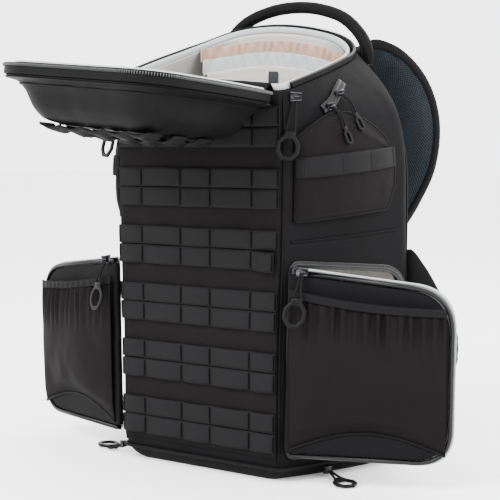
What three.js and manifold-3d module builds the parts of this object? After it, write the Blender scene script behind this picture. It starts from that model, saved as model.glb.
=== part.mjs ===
// Camera backpack standing open: moulded lid laid forward, both side doors swung out, straps behind.
// Millimetres, +Z up, the front looks along -Y, +X is the wearer's right hand side seen from the front.
// The origin is the middle of the base, on the surface that the pack stands on.
import * as THREE from "three";
import { mergeVertices } from "three/addons/utils/BufferGeometryUtils.js";
import Module from "manifold-3d";

const wasm = await Module();
wasm.setup();

// Driving dimensions of the body
const bodyDepth = 165; // front fabric to back fabric
const frontWidth = 212; // across the front at shoulder height
const backWidth = 314; // across the back, where the sides end
const rimFrontHeight = 391; // top of the front wall, where the lid hinges
const rimBackHeight = 440; // the mouth's back corners
const rimArch = 20; // rise of the mouth's back edge between its corners
const rimLean = 0.085; // the open lid pulls the mouth down on the right
const mouthWidth = 210; // across the mouth
const shoulderHeight = 310; // where the walls start to draw in to the mouth
const wall = 8; // padded wall
const floorThickness = 9; // padded base
const clearance = 0.35; // gap between pieces that touch
const trimSeat = 1; // gap under a trim on a curved edge

// Webbing
const webbingWidth = 20;
const webbingThickness = 1.6;
const webbingDrop = 21; // from the front's top edge down to the highest strap
const panelThickness = 2.4; // front fabric panel
const panelBottom = 24;
const panelDrop = 7; // from the front's top edge down to the panel's top

// Side doors
const doorBottom = 26;
const doorTop = 213; // at the hinge
const doorFarTop = 201; // at the far edge
const doorLength = 160;
const doorThickness = 7;
const doorHingeWidth = 213; // across the two hinge lines
const doorHingeSetback = 5; // behind the front fabric
const doorOpenRight = 66; // degrees from straight back
const doorOpenLeft = 73;
const openingMargin = 10; // from the front fabric to the doorway

// Lid
const lidLength = 182;
const lidDepth = 54;
const lidWall = 3.5;
const lidRise = 0.065; // slope of the open lid's rim, away from the hinge
const lidCorner = 46;

// Zips, cords and trims
const zipWidth = 7;
const zipThickness = 3;
const bindingWidth = 4.2;
const bindingHeight = 12;
const pipingRadius = 1.8;
const cordRadius = 1.1;

// Handle, straps and back
const handleRadius = 6.6;
const handleSpan = 194; // between the middles of its feet
const handleRise = 44; // middle of the tube at the crown, over the mouth's back corners
const handleDrop = 0.17 * (rimBackHeight - shoulderHeight); // its feet, below them
const backPanelThickness = 16;
const strapWidth = 62;
const strapThickness = 13;
const wingThickness = 12;

const front = -bodyDepth / 2;
const back = bodyDepth / 2;
const radians = THREE.MathUtils.degToRad;
const mix = THREE.MathUtils.lerp;
const ease = THREE.MathUtils.smoothstep;
const point = (x, y, z) => new THREE.Vector3(x, y, z);

// Looks of the solids
const looks = {
  shell: [0x17161a, 0.85, 0],
  panel: [0x1b191c, 0.9, 0],
  webbing: [0x26262a, 0.8, 0],
  pale: [0xd9dbda, 0.9, 0],
  cream: [0xdedad2, 0.9, 0],
  peach: [0xb99d8b, 0.9, 0],
  zip: [0x111113, 0.45, 0.1],
  metal: [0x5a5b5e, 0.35, 0.9],
  mesh: [0x39424a, 0.95, 0],
  tag: [0x4a4c50, 0.8, 0],
};
const root = new THREE.Group();

function materialOf(look) {
  const [color, roughness, metalness] = looks[look];
  return new THREE.MeshStandardMaterial({ color, roughness, metalness });
}

function addPiece(name, geometry, look, parent = root) {
  const mesh = new THREE.Mesh(geometry, materialOf(look));
  mesh.name = name;
  parent.add(mesh);
  return mesh;
}

// A closed geometry from vertices and triangles, turned round if its faces point inwards.
function closedGeometry(vertices, triangles) {
  let volume = 0;
  for (let i = 0; i < triangles.length; i += 3) {
    const [a, b, c] = [0, 1, 2].map((k) => vertices[triangles[i + k]]);
    volume += a.dot(b.clone().cross(c));
  }
  if (volume < 0) triangles.reverse();
  const geometry = new THREE.BufferGeometry().setFromPoints(vertices);
  geometry.setIndex(triangles);
  return geometry;
}

// A solid lofted through rings of equal count, each end closed by a fan to its middle.
function loft(rings) {
  const count = rings[0].length;
  const vertices = rings.flat();
  const triangles = [];
  for (let r = 0; r + 1 < rings.length; r++) {
    for (let i = 0; i < count; i++) {
      const j = (i + 1) % count;
      const [a, b] = [r * count + i, r * count + j];
      triangles.push(a, b, b + count, a, b + count, a + count);
    }
  }
  for (const [r, turn] of [[0, true], [rings.length - 1, false]]) {
    const middle = rings[r].reduce((sum, p) => sum.add(p), point(0, 0, 0)).divideScalar(count);
    const centre = vertices.push(middle) - 1;
    for (let i = 0; i < count; i++) {
      const [a, b] = [r * count + i, r * count + ((i + 1) % count)];
      triangles.push(...(turn ? [centre, b, a] : [centre, a, b]));
    }
  }
  return closedGeometry(vertices, triangles);
}

// A closed tube: rings joined end to end.
function ringLoft(rings) {
  const count = rings[0].length;
  const triangles = [];
  for (let r = 0; r < rings.length; r++) {
    const next = (r + 1) % rings.length;
    for (let i = 0; i < count; i++) {
      const j = (i + 1) % count;
      const [a, b, c, d] = [r * count + i, r * count + j, next * count + j, next * count + i];
      triangles.push(a, b, c, a, c, d);
    }
  }
  return closedGeometry(rings.flat(), triangles);
}

// A sheet with a front and a back grid of points, joined round its edge.
function slab(faceA, faceB) {
  const rows = faceA.length;
  const columns = faceA[0].length;
  const vertices = [...faceA.flat(), ...faceB.flat()];
  const offset = rows * columns;
  const at = (r, c) => r * columns + c;
  const triangles = [];
  for (let r = 0; r + 1 < rows; r++) {
    for (let c = 0; c + 1 < columns; c++) {
      const [p, q, s, t] = [at(r, c), at(r, c + 1), at(r + 1, c + 1), at(r + 1, c)];
      triangles.push(p, q, s, p, s, t);
      triangles.push(offset + q, offset + p, offset + s, offset + s, offset + p, offset + t);
    }
  }
  const edge = [];
  for (let c = 0; c + 1 < columns; c++) edge.push(at(0, c));
  for (let r = 0; r + 1 < rows; r++) edge.push(at(r, columns - 1));
  for (let c = columns - 1; c > 0; c--) edge.push(at(rows - 1, c));
  for (let r = rows - 1; r > 0; r--) edge.push(at(r, 0));
  edge.forEach((a, i) => {
    const b = edge[(i + 1) % edge.length];
    triangles.push(b, a, offset + a, b, offset + a, offset + b);
  });
  return closedGeometry(vertices, triangles);
}

// Grids of points: make(u, v) gives the point at shares u across and v up.
function grid(columns, rows, make) {
  return Array.from({ length: rows + 1 }, (_, r) =>
    Array.from({ length: columns + 1 }, (_, c) => make(c / columns, r / rows)),
  );
}

// manifold-3d solids for cuts and joins
function solidOf(geometry) {
  const plain = geometry.clone();
  plain.deleteAttribute("normal");
  plain.deleteAttribute("uv");
  const merged = mergeVertices(plain, 1e-3);
  const vertProperties = Float32Array.from(merged.attributes.position.array);
  const triVerts = Uint32Array.from(merged.index.array);
  return new wasm.Manifold(new wasm.Mesh({ numProp: 3, vertProperties, triVerts }));
}

function geometryOf(solid) {
  const mesh = solid.getMesh();
  const positions = [];
  for (let i = 0; i < mesh.numVert; i++) {
    positions.push(...mesh.vertProperties.subarray(i * mesh.numProp, i * mesh.numProp + 3));
  }
  const geometry = new THREE.BufferGeometry();
  geometry.setAttribute("position", new THREE.Float32BufferAttribute(positions, 3));
  geometry.setIndex([...mesh.triVerts]);
  return geometry;
}

const joined = (geometries) =>
  geometryOf(geometries.map(solidOf).reduce((sum, next) => sum.add(next)));

// A round tube along a list of points.
function tube(points, radius, sides, steps) {
  const path = new THREE.CatmullRomCurve3(points, false, "centripetal");
  const section = new THREE.Shape(
    Array.from({ length: sides }, (_, i) => {
      const turn = (i / sides) * 2 * Math.PI;
      return new THREE.Vector2(Math.cos(turn) * radius, Math.sin(turn) * radius);
    }),
  );
  return new THREE.ExtrudeGeometry(section, { steps, bevelEnabled: false, extrudePath: path });
}

// A bar of rectangular section along points, with a given outward direction at each point.
// spans gives its reach [outward low, high] and [along the third direction low, high].
function bar(points, outward, spans, closed = false) {
  const [[outLow, outHigh], [sideLow, sideHigh]] = spans;
  const count = points.length;
  const rings = points.map((p, i) => {
    const before = points[closed ? (i + count - 1) % count : Math.max(i - 1, 0)];
    const after = points[closed ? (i + 1) % count : Math.min(i + 1, count - 1)];
    const along = after.clone().sub(before).normalize();
    const out = outward(p, i, along).clone().normalize();
    const side = along.clone().cross(out).normalize();
    const at = (o, s) => p.clone().addScaledVector(out, o).addScaledVector(side, s);
    return [at(outLow, sideLow), at(outHigh, sideLow), at(outHigh, sideHigh), at(outLow, sideHigh)];
  });
  return closed ? ringLoft(rings) : loft(rings);
}

// Straight lines with rounded corners: corners are [x, y, radius]; steps in each corner.
function roundedOutline(corners, steps) {
  const points = [];
  corners.forEach(([x, y, radius], i) => {
    const [bx, by] = corners[(i + corners.length - 1) % corners.length];
    const [ax, ay] = corners[(i + 1) % corners.length];
    const corner = new THREE.Vector2(x, y);
    const from = new THREE.Vector2(bx, by).sub(corner).setLength(radius).add(corner);
    const to = new THREE.Vector2(ax, ay).sub(corner).setLength(radius).add(corner);
    const curve = new THREE.QuadraticBezierCurve(from, corner, to);
    points.push(...curve.getPoints(steps));
  });
  return points;
}

// The plan outline of a hollow form that is wider at the back than at the front: a loop of points
// that starts at the front centre and runs round the right side, the back and the left side.
const outlineSteps = { front: 2, frontCorner: 2, side: 6, backCorner: 4, back: 2 };

function planLoop({ frontHalf, backHalf, yFront, yBack, frontRadius, backRadius, swell }) {
  const frontCorner = new THREE.Vector2(frontHalf, yFront);
  const backCorner = new THREE.Vector2(backHalf, yBack);
  const sideLine = backCorner.clone().sub(frontCorner).normalize();
  const starts = {
    front: new THREE.Vector2(0, yFront),
    frontCorner: new THREE.Vector2(frontHalf - frontRadius, yFront),
    side: frontCorner.clone().addScaledVector(sideLine, frontRadius),
    backCorner: backCorner.clone().addScaledVector(sideLine, -backRadius),
    back: new THREE.Vector2(backHalf - backRadius, yBack),
  };
  const half = [];
  const straight = (a, b, steps, bulge) => {
    for (let i = 0; i < steps; i++) {
      const t = i / steps;
      const p = a.clone().lerp(b, t);
      p.x += bulge * Math.sin(Math.PI * t);
      half.push(p);
    }
  };
  const turn = (a, corner, b, steps) =>
    half.push(...new THREE.QuadraticBezierCurve(a, corner, b).getPoints(steps).slice(0, -1));
  straight(starts.front, starts.frontCorner, outlineSteps.front, 0);
  turn(starts.frontCorner, frontCorner, starts.side, outlineSteps.frontCorner);
  straight(starts.side, starts.backCorner, outlineSteps.side, swell);
  turn(starts.backCorner, backCorner, starts.back, outlineSteps.backCorner);
  straight(starts.back, new THREE.Vector2(0, yBack), outlineSteps.back, 0);
  const left = half.slice(1).reverse().map((p) => new THREE.Vector2(-p.x, p.y));
  return [...half, new THREE.Vector2(0, yBack), ...left];
}

// Body sections up to the shoulder. height is a share of shoulderHeight, frontHalf and backHalf are
// shares of half the two widths, frontIn and backIn are shares of the depth.
const bodySections = [
  { height: 0, frontHalf: 0.8, backHalf: 0.88, frontIn: 0.075, backIn: 0.05 },
  { height: 0.014, frontHalf: 0.86, backHalf: 0.93, frontIn: 0.04, backIn: 0.022 },
  { height: 0.045, frontHalf: 0.935, backHalf: 0.97, frontIn: 0.012, backIn: 0.004 },
  { height: 0.09, frontHalf: 0.946, backHalf: 0.98, frontIn: 0, backIn: 0 },
  { height: 0.42, frontHalf: 0.955, backHalf: 0.995, frontIn: 0, backIn: 0 },
  { height: 0.72, frontHalf: 0.985, backHalf: 1, frontIn: 0, backIn: 0 },
  { height: 1, frontHalf: 1, backHalf: 0.99, frontIn: 0, backIn: 0 },
];
// How far the outline has drawn in to the mouth, by share of the way up from the shoulder.
const mouthBlend = [
  { up: 0.25, drawn: 0.04 },
  { up: 0.5, drawn: 0.18 },
  { up: 0.7, drawn: 0.42 },
  { up: 0.85, drawn: 0.7 },
  { up: 1, drawn: 1 },
];
const cornerFront = 9;
const cornerBack = 20;
const mouthCornerBack = 50;
const mouthCornerFront = 14;
const sideSwell = 4;

function bodyOutline(section, inset) {
  return planLoop({
    frontHalf: (section.frontHalf * frontWidth) / 2 - inset,
    backHalf: (section.backHalf * backWidth) / 2 - inset,
    yFront: front + section.frontIn * bodyDepth + inset,
    yBack: back - section.backIn * bodyDepth - inset,
    frontRadius: cornerFront,
    backRadius: cornerBack,
    swell: sideSwell,
  });
}

function mouthOutline(inset) {
  return planLoop({
    frontHalf: mouthWidth / 2 - inset,
    backHalf: mouthWidth / 2 + 2 - inset,
    yFront: front + inset,
    yBack: back - 4 - inset,
    frontRadius: mouthCornerFront,
    backRadius: mouthCornerBack,
    swell: 2,
  });
}

// Height of the mouth's edge over a plan point.
function rimHeight(x, y) {
  const share = (y - front) / bodyDepth;
  const arch = rimArch * ease(share, 0.6, 1) * (1 - Math.min(1, (2 * x) / mouthWidth) ** 2);
  return mix(rimFrontHeight, rimBackHeight, share) + arch - rimLean * x;
}

// The section at a height below the shoulder, from the two rows on either side of it.
function sectionAt(z) {
  const share = z / shoulderHeight;
  const upper = Math.max(1, bodySections.findIndex((row) => row.height >= share));
  const [low, high] = [bodySections[upper - 1], bodySections[upper]];
  const t = (share - low.height) / (high.height - low.height);
  return Object.fromEntries(Object.keys(low).map((key) => [key, mix(low[key], high[key], t)]));
}

const ringBelow = (z, inset) => bodyOutline(sectionAt(z), inset).map((p) => point(p.x, p.y, z));

function ringAbove({ up, drawn }, inset) {
  const lower = bodyOutline(bodySections.at(-1), inset);
  return mouthOutline(inset).map((p, i) => {
    const [x, y] = [mix(lower[i].x, p.x, drawn), mix(lower[i].y, p.y, drawn)];
    return point(x, y, mix(shoulderHeight, rimHeight(p.x, p.y), up));
  });
}

// A point on the outside of a side wall: share along it from front to back, at a height below the rim.
// sign is -1 for the left wall, which is worked out mirrored to the right.
function sidePoint(along, z, out, sign) {
  const blendAt = (up) => {
    const rows = [{ up: 0, drawn: 0 }, ...mouthBlend];
    const k = Math.max(1, rows.findIndex((row) => row.up >= up));
    return mix(rows[k - 1].drawn, rows[k].drawn, (up - rows[k - 1].up) / (rows[k].up - rows[k - 1].up));
  };
  const loopPoint = (loop) => {
    const first = outlineSteps.front + outlineSteps.frontCorner;
    const at = first + along * outlineSteps.side;
    const low = Math.min(Math.floor(at), first + outlineSteps.side - 1);
    return loop[low].clone().lerp(loop[low + 1], at - low);
  };
  const planAt = (a, height) => {
    if (height <= shoulderHeight) return loopPoint(bodyOutline(sectionAt(height), 0));
    const lower = loopPoint(bodyOutline(bodySections.at(-1), 0));
    const upper = loopPoint(mouthOutline(0));
    const up = (height - shoulderHeight) / (rimHeight(sign * upper.x, upper.y) - shoulderHeight);
    return lower.lerp(upper, blendAt(Math.min(up, 1)));
  };
  const here = planAt(along, z);
  const lean = (planAt(along, z + 1).x - here.x) * -1;
  const flare = (backWidth - frontWidth) / 2 / bodyDepth;
  const outward = point(1, -flare, lean).normalize();
  return point(here.x, here.y, z).addScaledVector(outward, out);
}

// Body shell: padded walls and base, hollow, open at the mouth and at both side doorways
function bodyShell() {
  const floorLevels = bodySections.map((row) => row.height * shoulderHeight);
  const innerLevels = floorLevels.filter((z) => z > floorThickness);
  const outer = [...floorLevels.map((z) => ringBelow(z, 0)), ...mouthBlend.map((row) => ringAbove(row, 0))];
  const inner = [
    ...mouthBlend.toReversed().map((row) => ringAbove(row, wall)),
    ...innerLevels.toReversed().map((z) => ringBelow(z, wall)),
    ringBelow(innerLevels[0], wall).map((p) => point(p.x, p.y, floorThickness)),
  ];
  const shell = solidOf(loft([...outer, ...inner]));
  return geometryOf(shell.subtract(solidOf(doorwayCutter())));
}

// The doorway's outline in Y and Z, cut through both side walls at once.
const doorwayBackIn = 11; // from the back fabric to the doorway
function doorwayCutter() {
  const corners = [
    [front + openingMargin, doorBottom, 8],
    [back - doorwayBackIn, doorBottom, 30],
    [back - doorwayBackIn, doorFarTop + 3, 34],
    [front + openingMargin, doorTop + 4, 8],
  ];
  const outline = new THREE.Shape(roundedOutline(corners, 5));
  const cutter = new THREE.ExtrudeGeometry(outline, { depth: backWidth * 1.2, bevelEnabled: false });
  // the outline's axes X, Y and the depth become world Y, Z and X
  const basis = new THREE.Matrix4().makeBasis(point(0, 1, 0), point(0, 0, 1), point(1, 0, 0));
  return cutter.translate(0, 0, -backWidth * 0.6).applyMatrix4(basis);
}
addPiece("body_shell", bodyShell(), "shell");

// Half width of the front fabric at a height
const frontHalfAt = (z) => {
  const share = z <= shoulderHeight ? sectionAt(z).frontHalf : 1;
  return (share * frontWidth) / 2;
};
const frontInAt = (z) => (z <= shoulderHeight ? sectionAt(z).frontIn * bodyDepth : 0);

// Front panel: a flat fabric panel over the front wall, on which the webbing is sewn
function frontPanel() {
  const sewnAt = bodySections.map((row) => row.height * shoulderHeight).filter((z) => z > panelBottom);
  const levels = [panelBottom, ...sewnAt, rimFrontHeight - panelDrop];
  const face = (out) =>
    grid(8, levels.length - 1, (u, v) => {
      const z = levels[Math.round(v * (levels.length - 1))];
      const half = frontHalfAt(z) - cornerFront / 3;
      return point(mix(-half, half, u), front + frontInAt(z) - out, z);
    });
  return slab(face(clearance + panelThickness), face(clearance));
}
addPiece("front_panel", frontPanel(), "panel");

// Webbing rows on the front: pairs of straps, sewn down at four columns, slack between them.
const strapPairs = 6;
const stitchColumns = [-1, -0.688, -0.186, 0.186, 0.688, 1]; // shares of the half width
const strapSlack = 2.2;
const pairPitch = 3 * webbingWidth;
const slackOf = [1, 0.9, 1.25, 1, 1.1, 1.2]; // how slack each pair is

function frontStrap(top, pair, isLower) {
  const cellSteps = 2;
  const columns = (stitchColumns.length - 1) * cellSteps;
  const gap = 0.25; // each strap is a little narrower than its pitch
  const tabDrop = isLower && pair === 2 ? 2.5 : 0; // one strap's end has worked loose
  const face = (out) =>
    grid(columns, 1, (u, v) => {
      const cell = Math.min(Math.floor(u * columns / cellSteps), stitchColumns.length - 2);
      const t = (u * columns) / cellSteps - cell;
      const across = mix(stitchColumns[cell], stitchColumns[cell + 1], t);
      const z = mix(top - webbingWidth + gap, top - gap, v);
      const reach = frontHalfAt(z) - cornerFront / 3 - (across > 0.8 ? tabDrop : 0);
      const openEdge = isLower ? 1 - v : v; // the pair gapes away from its shared edge
      const lift = strapSlack * slackOf[pair] * Math.sin(Math.PI * t) * mix(0.35, 1, openEdge);
      const loose = tabDrop * ease(across, 0.6, 1) * 2.2;
      return point(across * reach, front + frontInAt(z) - out - lift - loose, z);
    });
  const base = panelThickness + 2 * clearance;
  return slab(face(base + webbingThickness), face(base));
}
for (let pair = 0; pair < strapPairs; pair++) {
  for (let row = 0; row < 2; row++) {
    const top = rimFrontHeight - webbingDrop - pair * pairPitch - row * webbingWidth;
    const name = `webbing_${pair + 1}_${row ? "lower" : "upper"}`;
    addPiece(name, frontStrap(top, pair, row === 1), "webbing");
  }
}

// Base piping: a cord sewn round the bottom edge
function basePiping() {
  const height = bodySections[2].height * shoulderHeight;
  const sides = 4;
  const middle = point(0, 0, height);
  const loop = ringBelow(height, -(pipingRadius + clearance));
  const rings = loop.map((p) => {
    const out = p.clone().sub(middle).normalize();
    return Array.from({ length: sides }, (_, i) => {
      const turn = (i / sides) * 2 * Math.PI;
      const at = p.clone().addScaledVector(out, Math.cos(turn) * pipingRadius);
      return at.setZ(p.z + Math.sin(turn) * pipingRadius);
    });
  });
  return ringLoft(rings);
}
addPiece("base_piping", basePiping(), "zip");

const upward = point(0, 0, 1);
const outwardOf = (p, i, along) => along.clone().cross(upward); // for loops seen anticlockwise from above

// Mouth trims: a zip track on the outer half of the rim, a pale padded binding on the inner half
const rimLoop = (inset) => mouthOutline(inset).map((p) => point(p.x, p.y, rimHeight(p.x, p.y)));
const hingeSteps = outlineSteps.front + outlineSteps.frontCorner; // loop points on half the hinge side
const pastHinge = (loop) => loop.slice(hingeSteps, loop.length - hingeSteps + 1);
const zipSeat = zipThickness / 2 + 0.4;

function mouthZip() {
  const upper = [-(trimSeat + zipWidth), -trimSeat];
  return bar(pastHinge(rimLoop(zipSeat)), outwardOf, [[-zipThickness / 2, zipThickness / 2], upper]);
}
addPiece("mouth_zip", mouthZip(), "zip");

function mouthBinding() {
  const inset = wall - bindingWidth / 2;
  const upper = [-(trimSeat + bindingHeight / 2), -trimSeat];
  return bar(rimLoop(inset), outwardOf, [[-bindingWidth / 2, bindingWidth / 2], upper], true);
}
addPiece("mouth_binding", mouthBinding(), "pale");

// Lining bands on the back wall inside, each standing a little further out than the one above.
// top and low are depths below the mouth's back edge; reach is the share of the width that it covers.
const liningLow = rimBackHeight - 230; // the off-white panel ends this far below the mouth
const linings = [
  { name: "lining_gathered_band", look: "peach", top: 9, low: 23, out: 1.7, reach: 0.98, pleats: 15 },
  { name: "lining_middle_band", look: "pale", top: 21, low: 38, out: 5, reach: 0.96, pleats: 7 },
  { name: "lining_back_panel", look: "cream", top: 36, low: liningLow, out: 8, reach: 0.92, pleats: 0 },
];

// A point of the back wall's inside: share across from left to right, a depth below the rim.
function backInside(across, depth, out) {
  const reach = (mouthWidth / 2 - wall) * across;
  const side = Math.abs(across) ** 6; // the corners turn forwards
  const y = back - 4 - wall - out - side * mouthCornerBack * 0.55;
  const rim = rimHeight(reach, back - 4 - wall);
  return point(reach * (1 - (0.06 * out) / wall * side), y, rim - depth);
}

for (const { name, look, top, low, out, reach, pleats } of linings) {
  const columns = Math.max(8, pleats * 2);
  const face = (offset) =>
    grid(columns, 1, (u, v) => {
      const across = mix(-reach, reach, u);
      const fold = pleats ? Math.cos(u * pleats * 2 * Math.PI) * 0.7 * v : 0;
      return backInside(across, mix(low, top, v), out + offset + fold);
    });
  addPiece(name, slab(face(1.6), face(0)), look);
}

// Plain tab sewn inside the mouth
const tabWidth = 13;
const tabFace = (out) =>
  grid(1, 1, (u, v) => backInside(mix(-tabWidth, 0, u) / (mouthWidth / 2), mix(58, 42, v), linings.at(-1).out + out));
addPiece("lining_tab", slab(tabFace(1.6 + clearance + 1.2), tabFace(1.6 + clearance)), "tag");

// Lid: a moulded dome, hollow, open at its rim. It is built level in its own frame, rim at z 0,
// hinge along y 0 and the dome below, then tilted and laid forward of the hinge.
const lid = new THREE.Group();
lid.position.set(0, front - 5, rimFrontHeight - 1);
lid.rotation.set(-Math.atan(lidRise), Math.atan(rimLean), 0);
root.add(lid);

// Rows from the rim to the middle of the dome: down is a share of lidDepth, in a share of half the width.
const lidRows = [
  { down: 0, in: 0.034, inside: true },
  { down: 0.2, in: 0.034 },
  { down: 0.23, in: 0.012 },
  { down: 0.28, in: 0.1, inside: true },
  { down: 0.42, in: 0.165 },
  { down: 0.72, in: 0.25, inside: true },
  { down: 0.87, in: 0.33 },
  { down: 0.95, in: 0.46 },
  { down: 1, in: 0.74, inside: true },
];

function lidLoop(inset, z) {
  const loop = planLoop({
    frontHalf: mouthWidth / 2 - inset,
    backHalf: mouthWidth / 2 - inset,
    yFront: inset * 0.7,
    yBack: lidLength - inset,
    frontRadius: Math.max(6, mouthCornerFront - inset * 0.1),
    backRadius: Math.max(12, lidCorner - inset * 0.5),
    swell: 3,
  });
  return loop.map((p) => point(p.x, -p.y, z));
}

const lidRing = (row, wallIn) =>
  lidLoop((row.in * mouthWidth) / 2 + wallIn, -row.down * lidDepth + (row.down > 0 ? wallIn : 0));

const lidInnerRows = lidRows.filter((row) => row.inside); // the inside is smoother than the outside

function lidShell() {
  const outer = lidRows.toReversed().map((row) => lidRing(row, 0));
  const inner = lidInnerRows.map((row) => lidRing(row, lidWall));
  return loft([...outer, ...inner]);
}
addPiece("lid_shell", lidShell(), "shell", lid);

// Lid lining: a thin pale bowl inside the shell that stands just over its rim
const liningThickness = 1.5;
const liningProud = 2;
function lidLining() {
  const outside = lidWall + clearance;
  const ringAt = (row, extra) => {
    const ring = lidRing(row, outside + extra);
    return row.down ? ring : ring.map((p) => p.setZ(liningProud));
  };
  return loft([
    ...lidInnerRows.toReversed().map((row) => ringAt(row, 0)),
    ...lidInnerRows.map((row) => ringAt(row, liningThickness)),
  ]);
}
addPiece("lid_lining", lidLining(), "pale", lid);

// Lid zip: the other half of the mouth's zip, round the outside of the lid's rim
function lidZip() {
  const loop = pastHinge(lidLoop(zipThickness / 2, 0));
  const outward = (p, i, along) => upward.clone().cross(along);
  return bar(loop, outward, [[-zipThickness / 2, zipThickness / 2 - 0.2], [-0.18 * lidDepth, 1]]);
}
addPiece("lid_zip", lidZip(), "zip", lid);

// Depth of the dome's outside below the rim over a plan point in the lid's frame
function domeDepth(x, y) {
  const inset = Math.min(mouthWidth / 2 - Math.abs(x), -y / 0.7, lidLength + y) / (mouthWidth / 2);
  const k = Math.max(1, lidRows.findIndex((row) => row.in >= inset));
  if (inset >= lidRows.at(-1).in) return lidDepth;
  const [low, high] = [lidRows[k - 1], lidRows[k]];
  return mix(low.down, high.down, (inset - low.in) / (high.in - low.in)) * lidDepth;
}

// Webbing loops across the lid, slack, hanging below the dome
const lidStraps = [{ along: 0.33, slack: 5 }, { along: 0.53, slack: 6.5 }, { along: 0.73, slack: 5.5 }];
const lidStrapReach = 68;
const lidStrapCells = 5;
lidStraps.forEach(({ along, slack }, index) => {
  const face = (out) =>
    grid(lidStrapCells * 3, 1, (u, v) => {
      const x = mix(-lidStrapReach, lidStrapReach, u);
      const y = -along * lidLength + mix(-0.5, 0.5, v) * webbingWidth;
      const lift = slack * Math.abs(Math.sin(u * lidStrapCells * Math.PI)) * mix(0.6, 1, v);
      return point(x, y, -domeDepth(x, y) - 1.2 - out - lift);
    });
  const name = `lid_webbing_${index + 1}`;
  addPiece(name, slab(face(webbingThickness), face(0)), "webbing", lid);
});

// Lid hinge: a fabric strip from the top of the front wall over to the lid's inner rim
function lidHinge() {
  const half = mouthWidth / 2 - 14;
  const face = (out) =>
    grid(4, 3, (u, v) => {
      const x = mix(-half, half, u);
      const turn = v * Math.PI;
      const [y, rise] = [mix(front + 2.8, front - 9.4, v), Math.sin(turn) * 6];
      return point(x, y, rimHeight(x, front) + trimSeat + rise + out);
    });
  return slab(face(1.8), face(0));
}
addPiece("lid_hinge", lidHinge(), "shell");

// Carry handle: a padded arch on the back, over the mouth. seat is how far its feet lean in to the fabric.
const handleArch = [
  { across: 1, up: 0, seat: 2.3 },
  { across: 0.985, up: 0.25, seat: 1.2 },
  { across: 0.88, up: 0.52, seat: 0.6 },
  { across: 0.66, up: 0.79, seat: 0 },
  { across: 0.34, up: 0.95, seat: 0 },
  { across: 0, up: 1, seat: 0 },
];

function handle() {
  const y = back + handleRadius + clearance;
  const right = handleArch.map(({ across, up, seat }) =>
    point((across * handleSpan) / 2, y - seat, rimBackHeight + mix(-handleDrop, handleRise, up)),
  );
  const left = right.slice(0, -1).reverse().map((p) => point(-p.x, p.y, p.z));
  return tube([...right, ...left], handleRadius, 8, 18);
}
addPiece("carry_handle", handle(), "shell");

// Back panel: padded, with an arched top and two raised pads beside a channel.
// Rows: height is a share of the panel's height, half is a share of half the back's width.
const backPanelLow = 30;
const backPanelDrop = 40; // from the mouth's back corners down to the panel's top
const backPanelEdge = 3; // its thickness where it is sewn down
const backChannel = { depth: 0.6, width: 0.16 }; // shares of its thickness and of half its width
const backPanelRows = [
  { height: 0, half: 0.58 },
  { height: 0.06, half: 0.64 },
  { height: 0.2, half: 0.76 },
  { height: 0.5, half: 0.78 },
  { height: 0.78, half: 0.8 },
  { height: 0.9, half: 0.68 },
  { height: 0.97, half: 0.5 },
  { height: 1, half: 0.34 },
];

function backPanel() {
  const face = (outer) =>
    grid(10, backPanelRows.length - 1, (u, v) => {
      const row = backPanelRows[Math.round(v * (backPanelRows.length - 1))];
      const across = 2 * u - 1;
      const x = (across * row.half * backWidth) / 2;
      const edge = Math.min(1, (1 - Math.abs(across)) * 6) * ease(row.height, -0.02, 0.06);
      const channel = backChannel.depth * Math.exp(-((across / backChannel.width) ** 2));
      const topped = 1 - ease(row.height, 0.9, 1.02);
      const out = outer ? mix(backPanelEdge, backPanelThickness * (1 - channel), edge * topped) : 0;
      return point(x, back + clearance + out, mix(backPanelLow, rimBackHeight - backPanelDrop, row.height));
    });
  return slab(face(true), face(false));
}
addPiece("back_panel", backPanel(), "mesh");

// Back zip: runs up one side of the back, over behind the mouth and down the other side.
const backZipArch = [
  { across: 0.975, height: 0.09 },
  { across: 0.985, height: 0.45 },
  { across: 0.985, height: 0.68 },
  { across: 0.945, height: 0.77 },
  { across: 0.86, height: 0.835 },
  { across: 0.72, height: 0.885 },
  { across: 0.5, height: 0.918 },
  { across: 0.25, height: 0.93 },
];

function backZip() {
  const y = back + clearance + zipThickness / 2;
  const right = backZipArch.map(({ across, height }) =>
    point((across * backWidth) / 2 - cornerBack / 2, y, height * rimBackHeight),
  );
  const left = right.map((p) => point(-p.x, p.y, p.z)).reverse();
  const outward = () => point(0, 1, 0);
  return bar([...right, ...left], outward, [[-zipThickness / 2, zipThickness / 2], [-zipWidth / 2, zipWidth / 2]]);
}
addPiece("back_zip", backZip(), "zip");

// Pieces that come in pairs are built for the right side and mirrored for the left.
const sides = [["right", 1], ["left", -1]];
function addPair(name, build, look) {
  for (const [side, sign] of sides) {
    const holder = new THREE.Group();
    holder.scale.x = sign;
    root.add(holder);
    addPiece(`${name}_${side}`, build(sign), look, holder);
  }
}

// Shoulder straps: padded, arching back from the top of the back panel and in again below.
// Rows: across and high place the middle line, reach is how far it stands behind the back.
const strapRows = [
  { across: 0.3, reach: 0.162, high: 0.93, wide: 0.8 },
  { across: 0.37, reach: 0.42, high: 0.985, wide: 0.95 },
  { across: 0.5, reach: 0.68, high: 0.965, wide: 1 },
  { across: 0.63, reach: 0.9, high: 0.9, wide: 1 },
  { across: 0.69, reach: 1, high: 0.815, wide: 1 },
  { across: 0.68, reach: 0.97, high: 0.72, wide: 1 },
  { across: 0.61, reach: 0.85, high: 0.63, wide: 0.92 },
  { across: 0.54, reach: 0.7, high: 0.55, wide: 0.74 },
  { across: 0.5, reach: 0.62, high: 0.49, wide: 0.5 },
];
const strapReach = 82; // of the strap's middle behind the back fabric

const strapLine = strapRows.map(({ across, reach, high }) =>
  point((across * backWidth) / 2, back + reach * strapReach, high * rimBackHeight),
);

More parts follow.
